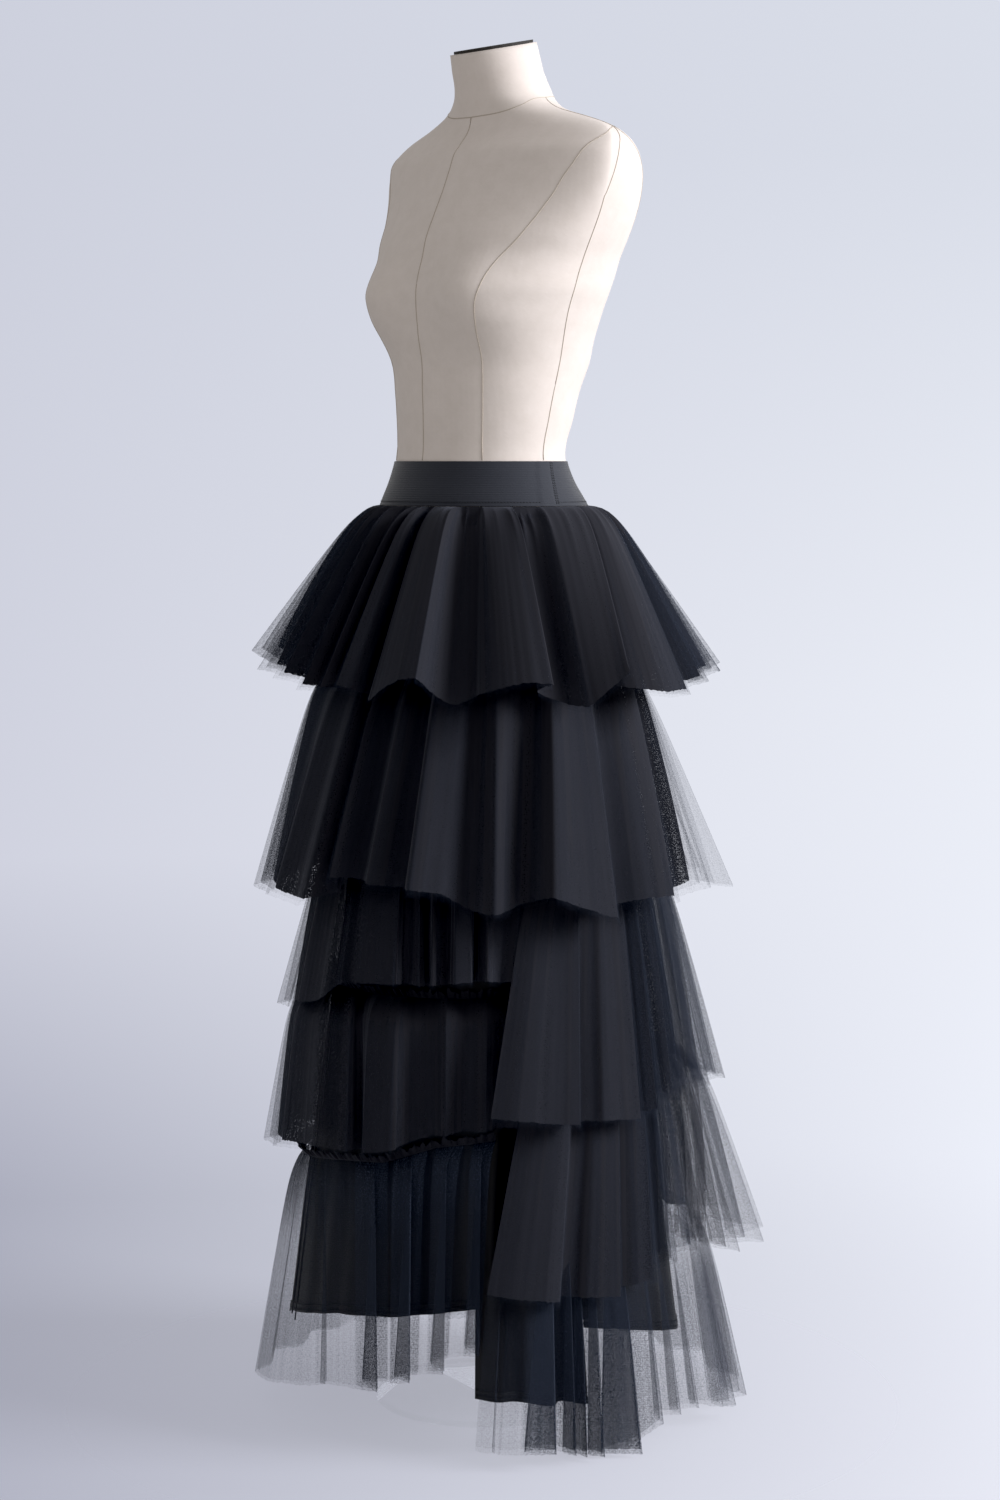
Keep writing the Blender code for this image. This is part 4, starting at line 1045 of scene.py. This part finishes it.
def hemPath(flounce):
    # the hem from above: x, y, drop and seam bearing along it, and how creased the net is
    rows = hemTable(flounce)
    closed = "closed" in flounce
    if closed:
        turn = np.array([360.0, 0.0, 0.0, 360.0, 0.0])
        rows = np.concatenate([rows[-1:] - turn, rows, rows[:2] + turn])
    angle = np.radians(rows[:, 0])
    x, y = rows[:, 1] * np.sin(angle), -rows[:, 1] * np.cos(angle)
    corners = np.stack([x, y, rows[:, 2], rows[:, 3]], axis=1)
    length = np.linalg.norm(np.diff(corners[:, :2], axis=0), axis=1)[:, None]
    chord = np.diff(corners, axis=0) / length
    smooth = (chord[:-1] * length[1:] + chord[1:] * length[:-1]) / (length[:-1] + length[1:])
    smooth = np.concatenate([chord[:1], smooth, chord[-1:]])
    crease = rows[:, 4:5]
    leaving = crease[:-1] * chord + (1 - crease[:-1]) * smooth[:-1]
    arriving = crease[1:] * chord + (1 - crease[1:]) * smooth[1:]
    values = []
    for i in range(1, len(rows) - 2) if closed else range(len(rows) - 1):
        span = length[i, 0]
        near = net["creaseWidth"] / span
        s = np.unique(np.concatenate([
            np.arange(0, 1, 1 / math.ceil(span / net["step"])),
            [near] if crease[i, 0] > 0.5 and near < 0.4 else [],
            [1 - near] if crease[i + 1, 0] > 0.5 and near < 0.4 else [],
        ]))[:, None]
        point = smoothStep(corners[i], corners[i + 1], leaving[i], arriving[i], span, s)
        creased = crease[i] * np.exp(-((s / near) ** 2)) + crease[i + 1] * np.exp(-(((1 - s) / near) ** 2))
        values.append(np.concatenate([point, creased], axis=1))
    if not closed:
        values.append(np.append(corners[-1], 0.0)[None, :])
    return np.concatenate(values).T


def seamPinches(flounce, seamBearing, below):
    # the gathers at the seam: narrow ridges of uneven size that run out below it
    rows = hemTable(flounce)
    noise = np.random.default_rng(len(rows))
    first, last = seamBearing.min(), seamBearing.max()
    count = round((last - first) / net["pinchSpacing"])
    places = first + (np.arange(count) + noise.uniform(0.1, 0.9, count)) * (last - first) / count
    folds = rows[rows[:, 4] >= net["sharpFold"], 3]
    places = [at for at in places if min(abs(at - folds)) > net["pinchClear"]]
    places = np.concatenate([places, folds])
    sizes, lengths = noise.uniform(0.4, 1.0, len(places)), noise.uniform(*net["pinchLength"], len(places))
    width = net["pinchSharpness"] * (1 + below / net["pinchSpread"])
    ridges = 0.0
    for place, size, runOut in zip(places, sizes, lengths):
        off = (seamBearing - place + 180) % 360 - 180
        ridges = ridges + size * np.exp(-np.abs(off) / width - below / runOut)
    sink, sinkLength = net["pinchSink"]
    ridges = ridges - sink * np.exp(-below / sinkLength)
    return flounce["pinchDepth"] * ridges * (1 - np.exp(-below / net["pinchStart"]))


def evened(values, along, closed):
    # a running mean over a few folds
    away = along[:, None] - along[None, :]
    if closed:
        away = (away + along[-1] / 2) % along[-1] - along[-1] / 2
    weights = np.exp(-((away / net["meanWidth"]) ** 2))
    return values @ weights / weights.sum(axis=1)


def flouncePoints(flounce, layer):
    _, dropOffset, ripple, seed, reach = layer
    closed = "closed" in flounce
    hemX, hemY, hemDrop, seamBearing, creased = hemPath(flounce)
    hemBearing = np.degrees(np.unwrap(np.arctan2(hemX, -hemY)))
    hemBearing += 360 * round((seamBearing[0] - hemBearing[0]) / 360)
    hemRadius = np.hypot(hemX, hemY)
    along = np.concatenate([[0.0], np.cumsum(np.hypot(np.diff(hemX), np.diff(hemY)))])
    turn = seamBearing[0] + along / along[-1] * 360  # evenly along the cloth
    noise = np.random.default_rng(seed * 100 + len(flounce["hem"]))
    small = evenWaves(turn, net["rippleSpacing"], seed * 7 + 1)
    finer = evenWaves(turn, net["rippleSpacing"] * net["rippleFiner"], seed * 7 + 2)
    aside = evenWaves(turn + net["rippleShift"], net["rippleSpacing"], seed * 7 + 1)
    seamDrop, loft = (tableValue(flounce["seam"], seamBearing, column) for column in (1, 2))
    seat = liningRadius(seamBearing, seamDrop) + seatGap + clothThickness
    hemSeat = liningRadius(hemBearing, np.minimum(hemDrop, net["lowestLining"]))
    hemSeat = hemSeat + clothThickness + net["hemClear"]
    bearings, shares, covers = zip(*reach)
    inward = np.interp(hemBearing, bearings, shares, period=360)
    cover = np.interp(hemBearing, bearings, covers, period=360)
    hemDrop = hemDrop + dropOffset + net["hemWobble"] * noise.uniform(-1, 1, len(hemDrop))
    hemDrop = np.minimum(hemDrop, waistHeight - net["lowestHem"])
    share = (np.linspace(0, 1, net["rows"]) ** net["rowGrowth"])[:, None]
    hemRadius = hemSeat + (hemRadius - hemSeat) * (1 - (1 - inward) * share ** net["reachGrowth"])
    below = share * (hemDrop - seamDrop)
    sprung = loft * (1 - np.exp(-share / net["springLength"])) + (1 - loft) * share
    # the cloth springs away from the seam as a whole, and its folds grow out of the gathers
    meanRadius = evened(hemRadius, along, closed)
    ends = ((seamBearing, seat), (hemBearing, meanRadius), (hemBearing, hemRadius))
    seamPlan, meanPlan, hemPlan = (pointsAt(b, r, 0.0)[..., :2] for b, r in ends)
    plan = seamPlan + (meanPlan - seamPlan) * sprung[:, :, None]
    slope = np.gradient(np.hypot(plan[:, :, 0], plan[:, :, 1]), axis=0) / np.gradient(below, axis=0)
    slope = np.clip(slope, 0, net["steepest"])
    grown = share ** net["foldGrowth"]
    plan = plan + (hemPlan - meanPlan) * grown[:, :, None]
    radius = np.hypot(plan[:, :, 0], plan[:, :, 1])
    bearing = np.degrees(np.arctan2(plan[:, :, 0], -plan[:, :, 1]))
    pinched = seamPinches(flounce, seamBearing, below)
    radius += ripple * (small + 0.5 * finer) * share ** net["rippleGrowth"] + pinched
    stop = net["rippleStop"]
    freeEdges = 1.0 if closed else easeIn((along - along[0]) / stop) * easeIn((along[-1] - along) / stop)
    bearing += net["rippleTurn"] * aside * share ** net["reachGrowth"] * freeEdges
    lift = ((hemRadius - meanRadius) * grown * (1 - share) ** 2 + pinched) * slope
    # crests stay near the seam's level, valleys sink
    lift = np.where(lift > 0, lift * net["crestLift"], lift)
    drop = seamDrop + np.maximum(below - lift, below * net["leastDrop"])
    atSeam, more = net["clear"]
    lowest = liningRadius(bearing, np.clip(drop, underBand, net["lowestLining"])) + clothThickness
    radius = np.maximum(radius, lowest + atSeam + more * share)
    points = pointsAt(bearing, radius, drop)
    uv = np.stack([along[None, :] + 0 * share + seed * net["patternShift"], below], axis=-1)
    # the net is thicker where it is gathered, at its creases and in uneven streaks
    steps = np.gradient(points[:, :, :2], axis=1)
    widths = np.hypot(steps[:, :, 0], steps[:, :, 1])
    widths = (widths + np.roll(widths, 1, axis=1) + np.roll(widths, -1, axis=1)) / 3
    gathered = np.clip(widths[-1] / np.maximum(widths, 1e-5), 1.0, net["mostGathered"]) ** 0.5
    streaks = noise.normal(0, 1, len(along))
    streaks = np.clip((streaks + np.roll(streaks, 1)) * net["streakCrowd"], *net["streakLimits"])
    topCover = flounce.get("topCover", 1.0)
    cover = cover * (topCover + (1 - topCover) * easeIn(share / net["topShare"]))
    crowd = gathered * cover * (1 + streaks)
    crowd = crowd * (1 + net["creaseCrowd"] * creased * share ** net["creaseGrowth"])
    return points, uv, crowd


ruffle = {
    "step": 0.5,  # degrees
    "rows": 7,
    "spacings": (3.0, 1.6),  # degrees between its wide and its narrow waves
    "height": (0.75, 0.35, 0.15),  # shares of its height: even, by the wide waves, and at random
    "overlap": 0.0006,  # below the seam
    "lean": 0.9,  # degrees
    "start": 0.003,  # its radius over the seam's
    "flare": (0.009, 0.005, 0.003),  # how far it stands out: even, by the wide and by the narrow waves
    "flareGrowth": 0.7,
    "patternRadius": 0.2,
}


def makeHeading(name, flounce):
    # the raw gathered edge above the seam, crushed into small ruffles by the row of stitches
    bearings = np.arange(flounce["hem"][0][3], flounce["hem"][-1][3], ruffle["step"])
    noise = np.random.default_rng(len(name) + 40)
    share = np.linspace(0, 1, ruffle["rows"])[:, None]
    seamDrop = tableValue(flounce["seam"], bearings)
    wide, narrow = (evenWaves(bearings, spacing, 71 + i) for i, spacing in enumerate(ruffle["spacings"]))
    even, waving, ragged = ruffle["height"]
    tall = flounce["heading"] * (even + waving * wide + ragged * noise.uniform(-1, 1, len(bearings)))
    drop = seamDrop - tall * share + ruffle["overlap"]
    even, byWide, byNarrow = ruffle["flare"]
    flare = (even + byWide * wide + byNarrow * narrow) * share ** ruffle["flareGrowth"]
    radius = liningRadius(bearings, seamDrop) + seatGap + clothThickness + ruffle["start"] + flare
    points = pointsAt(bearings + ruffle["lean"] * narrow * share, radius, drop)
    along = np.radians(bearings - bearings[0]) * ruffle["patternRadius"]
    uv = np.stack([along[None, :] + 0 * share, tall * share], axis=-1)
    return gridPiece(name + "_heading", points, materials["dense"], uv=uv, crowd=np.ones(points.shape[:2]))


def makeFlounce(name, flounce):
    for number, layer in enumerate(flounce["layers"]):
        points, uv, crowd = flouncePoints(flounce, layer)
        material = materials[layer[0]]
        piece = gridPiece(f"{name}_net_{number + 1}", points, material, "closed" in flounce, uv, crowd)
    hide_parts(name)
    if "heading" in flounce:
        heading = makeHeading(name, flounce)


for name, flounce in flounces.items():
    makeFlounce(name, flounce)


studio = {
    "azimuth": 48.0,  # the camera's bearing
    "distance": 3.45,
    "height": waistHeight,
    "pitch": -5.5,
    "pan": -0.34,
    "lens": 72.0,
    "sensor": 36.0,
    "floorRadius": 1.7,
    "floorGrid": (12, 64),  # rings and sides
    "floorFade": (0.35, 1.5),
    "floor": "#cfd0da",
    "floorShare": 0.35,
    # the paper behind, as (height of the line of sight, colour), on the left and on the right: painted shade
    # on the left, darkest low down where the skirt's shadow falls, and painted light on the right, on the key
    # light's side
    "paperPaintedShadeLeft": [(-0.30, "#aeb0c1"), (-0.24, "#a9abbb"), (-0.13, "#d0d2df"), (0.10, "#cdd0dd")],
    "paperPaintedLightRight": [(-0.30, "#eef0fa"), (-0.24, "#edf0fa"), (-0.08, "#eaedf6"), (0.10, "#dadee9")],
    "paperBlend": 0.17,  # how far to each side of the middle the two sides blend
    "ambient": 0.45,
    "shadeSide": 0.70,  # how bright the room is on the left, against the right
    "cameraSide": 0.70,  # how bright the room is behind the camera, against the paper
    "blackLevel": 0.0045,  # what is darker than this is black
    "netBounces": 48,  # how many nets a line of sight can pass
    "lights": {
        "keyLight": {
            "bearing": 122.0, "height": 2.2, "distance": 3.2, "size": 1.6, "power": 145.0, "aim": 0.9,
            "colour": "#f6f9ff",
        },
        "frontLight": {
            "bearing": 40.0, "height": 1.9, "distance": 3.6, "size": 2.4, "power": 10.0, "aim": 0.8,
            "colour": "#ffffff",
        },
    },
}


def standAt(thing, bearing, distance, height):
    angle = math.radians(bearing)
    thing.location = (distance * math.sin(angle), -distance * math.cos(angle), height)
    bpy.context.scene.collection.objects.link(thing)


def addLight(name, light):
    data = bpy.data.lights.new(name, "AREA")
    data.size = light["size"]
    data.energy = light["power"]
    data.color = toLinear(light["colour"])[:3]
    lamp = bpy.data.objects.new(name, data)
    standAt(lamp, light["bearing"], light["distance"], light["height"])
    aim = Vector((0.0, 0.0, light["aim"])) - lamp.location
    lamp.rotation_euler = aim.to_track_quat("-Z", "Y").to_euler()


def addCamera():
    data = bpy.data.cameras.new("camera")
    data.lens = studio["lens"]
    data.sensor_width = studio["sensor"]
    camera = bpy.data.objects.new("camera", data)
    standAt(camera, studio["azimuth"], studio["distance"], studio["height"])
    camera.rotation_euler = (
        math.radians(90 + studio["pitch"]), 0.0, math.radians(studio["azimuth"] + studio["pan"]),
    )
    bpy.context.scene.camera = camera


def addFloor():
    # seamless paper: matt, pale blue-grey
    rings, sides = studio["floorGrid"]
    angles = np.arange(sides) * 2 * math.pi / sides
    points = np.array([
        [[radius * math.cos(a), radius * math.sin(a), 0.0] for a in angles]
        for radius in np.linspace(0.001, studio["floorRadius"], rings)
    ])
    material, tree, shader = newMaterial("paperBackdropMatt")
    place = addNode(tree, "ShaderNodeTexCoord").outputs["Object"]
    length = addNode(tree, "ShaderNodeVectorMath", {0: place}, operation="LENGTH")
    start, end = studio["floorFade"]
    fade = addNode(tree, "ShaderNodeMapRange", {
        "Value": length, "From Min": start, "From Max": end, "To Min": studio["floorShare"], "To Max": 0.0,
    }, interpolation_type="SMOOTHSTEP")
    setInputs(tree, shader, {
        "Base Color": toLinear(studio["floor"]), "Roughness": 0.9, "Specular IOR Level": 0.1, "Alpha": fade,
    })
    floor = gridPiece("floor", points[::-1], material, closed=True)
    floor.parent = None
    del floor["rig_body"]


def sightAlong(tree, place, direction, values):
    # from one side of the room to the other along a direction, a value for each of its ends
    facing = addNode(tree, "ShaderNodeVectorMath", {0: place, 1: direction}, operation="DOT_PRODUCT")
    first, last, start, end = values
    return addNode(tree, "ShaderNodeMapRange", {
        "Value": facing, "From Min": first, "From Max": last, "To Min": start, "To Max": end,
    })


def addWorld():
    world = bpy.data.worlds.new("studio")
    world.use_nodes = True
    bpy.context.scene.world = world
    tree = world.node_tree
    place = addNode(tree, "ShaderNodeTexCoord").outputs["Generated"]
    angle = math.radians(studio["azimuth"])
    toRight, away = (math.cos(angle), math.sin(angle), 0.0), (-math.sin(angle), math.cos(angle), 0.0)
    height = addNode(tree, "ShaderNodeSeparateXYZ", {"Vector": place})
    lowest, highest = studio["paperPaintedShadeLeft"][0][0], studio["paperPaintedShadeLeft"][-1][0]
    level = addNode(tree, "ShaderNodeMapRange", {
        "Value": height.outputs["Z"], "From Min": lowest, "From Max": highest,
    })
    # the paper's colours carry painted shade on the left and painted light on the right
    papers = []
    for rows in (studio["paperPaintedShadeLeft"], studio["paperPaintedLightRight"]):
        paper = addNode(tree, "ShaderNodeValToRGB", {"Fac": level})
        stops = paper.color_ramp.elements
        while len(stops) < len(rows):
            stops.new(0.5)
        for stop, (at, colour) in zip(stops, rows):
            stop.position = (at - lowest) / (highest - lowest)
            stop.color = toLinear(colour)
        papers.append(paper)
    blend = studio["paperBlend"]
    paper = addNode(tree, "ShaderNodeMix", {
        "Factor": sightAlong(tree, place, toRight, (-blend, blend, 0.0, 1.0)), "A": papers[0], "B": papers[1],
    }, data_type="RGBA")
    # the room's light, even on average and darker on two sides
    brightRight = studio["ambient"] * 2 / (1 + studio["shadeSide"])
    brightBack = 2 / (1 + studio["cameraSide"])
    light = addNode(tree, "ShaderNodeMath", {
        0: sightAlong(tree, place, toRight, (-1.0, 1.0, studio["shadeSide"] * brightRight, brightRight)),
        1: sightAlong(tree, place, away, (-1.0, 1.0, studio["cameraSide"] * brightBack, brightBack)),
    }, operation="MULTIPLY")
    # lines of sight from the camera see the paper, with its painted light and shade; other rays get the
    # room's light
    path = addNode(tree, "ShaderNodeLightPath")
    colour = addNode(tree, "ShaderNodeMix", {
        "Factor": path.outputs["Is Camera Ray"], "A": light, "B": paper,
    }, data_type="RGBA")
    setInputs(tree, tree.nodes["Background"], {"Color": colour, "Strength": 1.0})


addCamera()
for name, light in studio["lights"].items():
    addLight(name, light)
addFloor()
addWorld()
view = bpy.context.scene.view_settings
view.view_transform = "Standard"
view.use_curve_mapping = True
view.curve_mapping.black_level = (studio["blackLevel"],) * 3
view.curve_mapping.update()
bpy.context.scene.cycles.transparent_max_bounces = studio["netBounces"]
print("studio made")
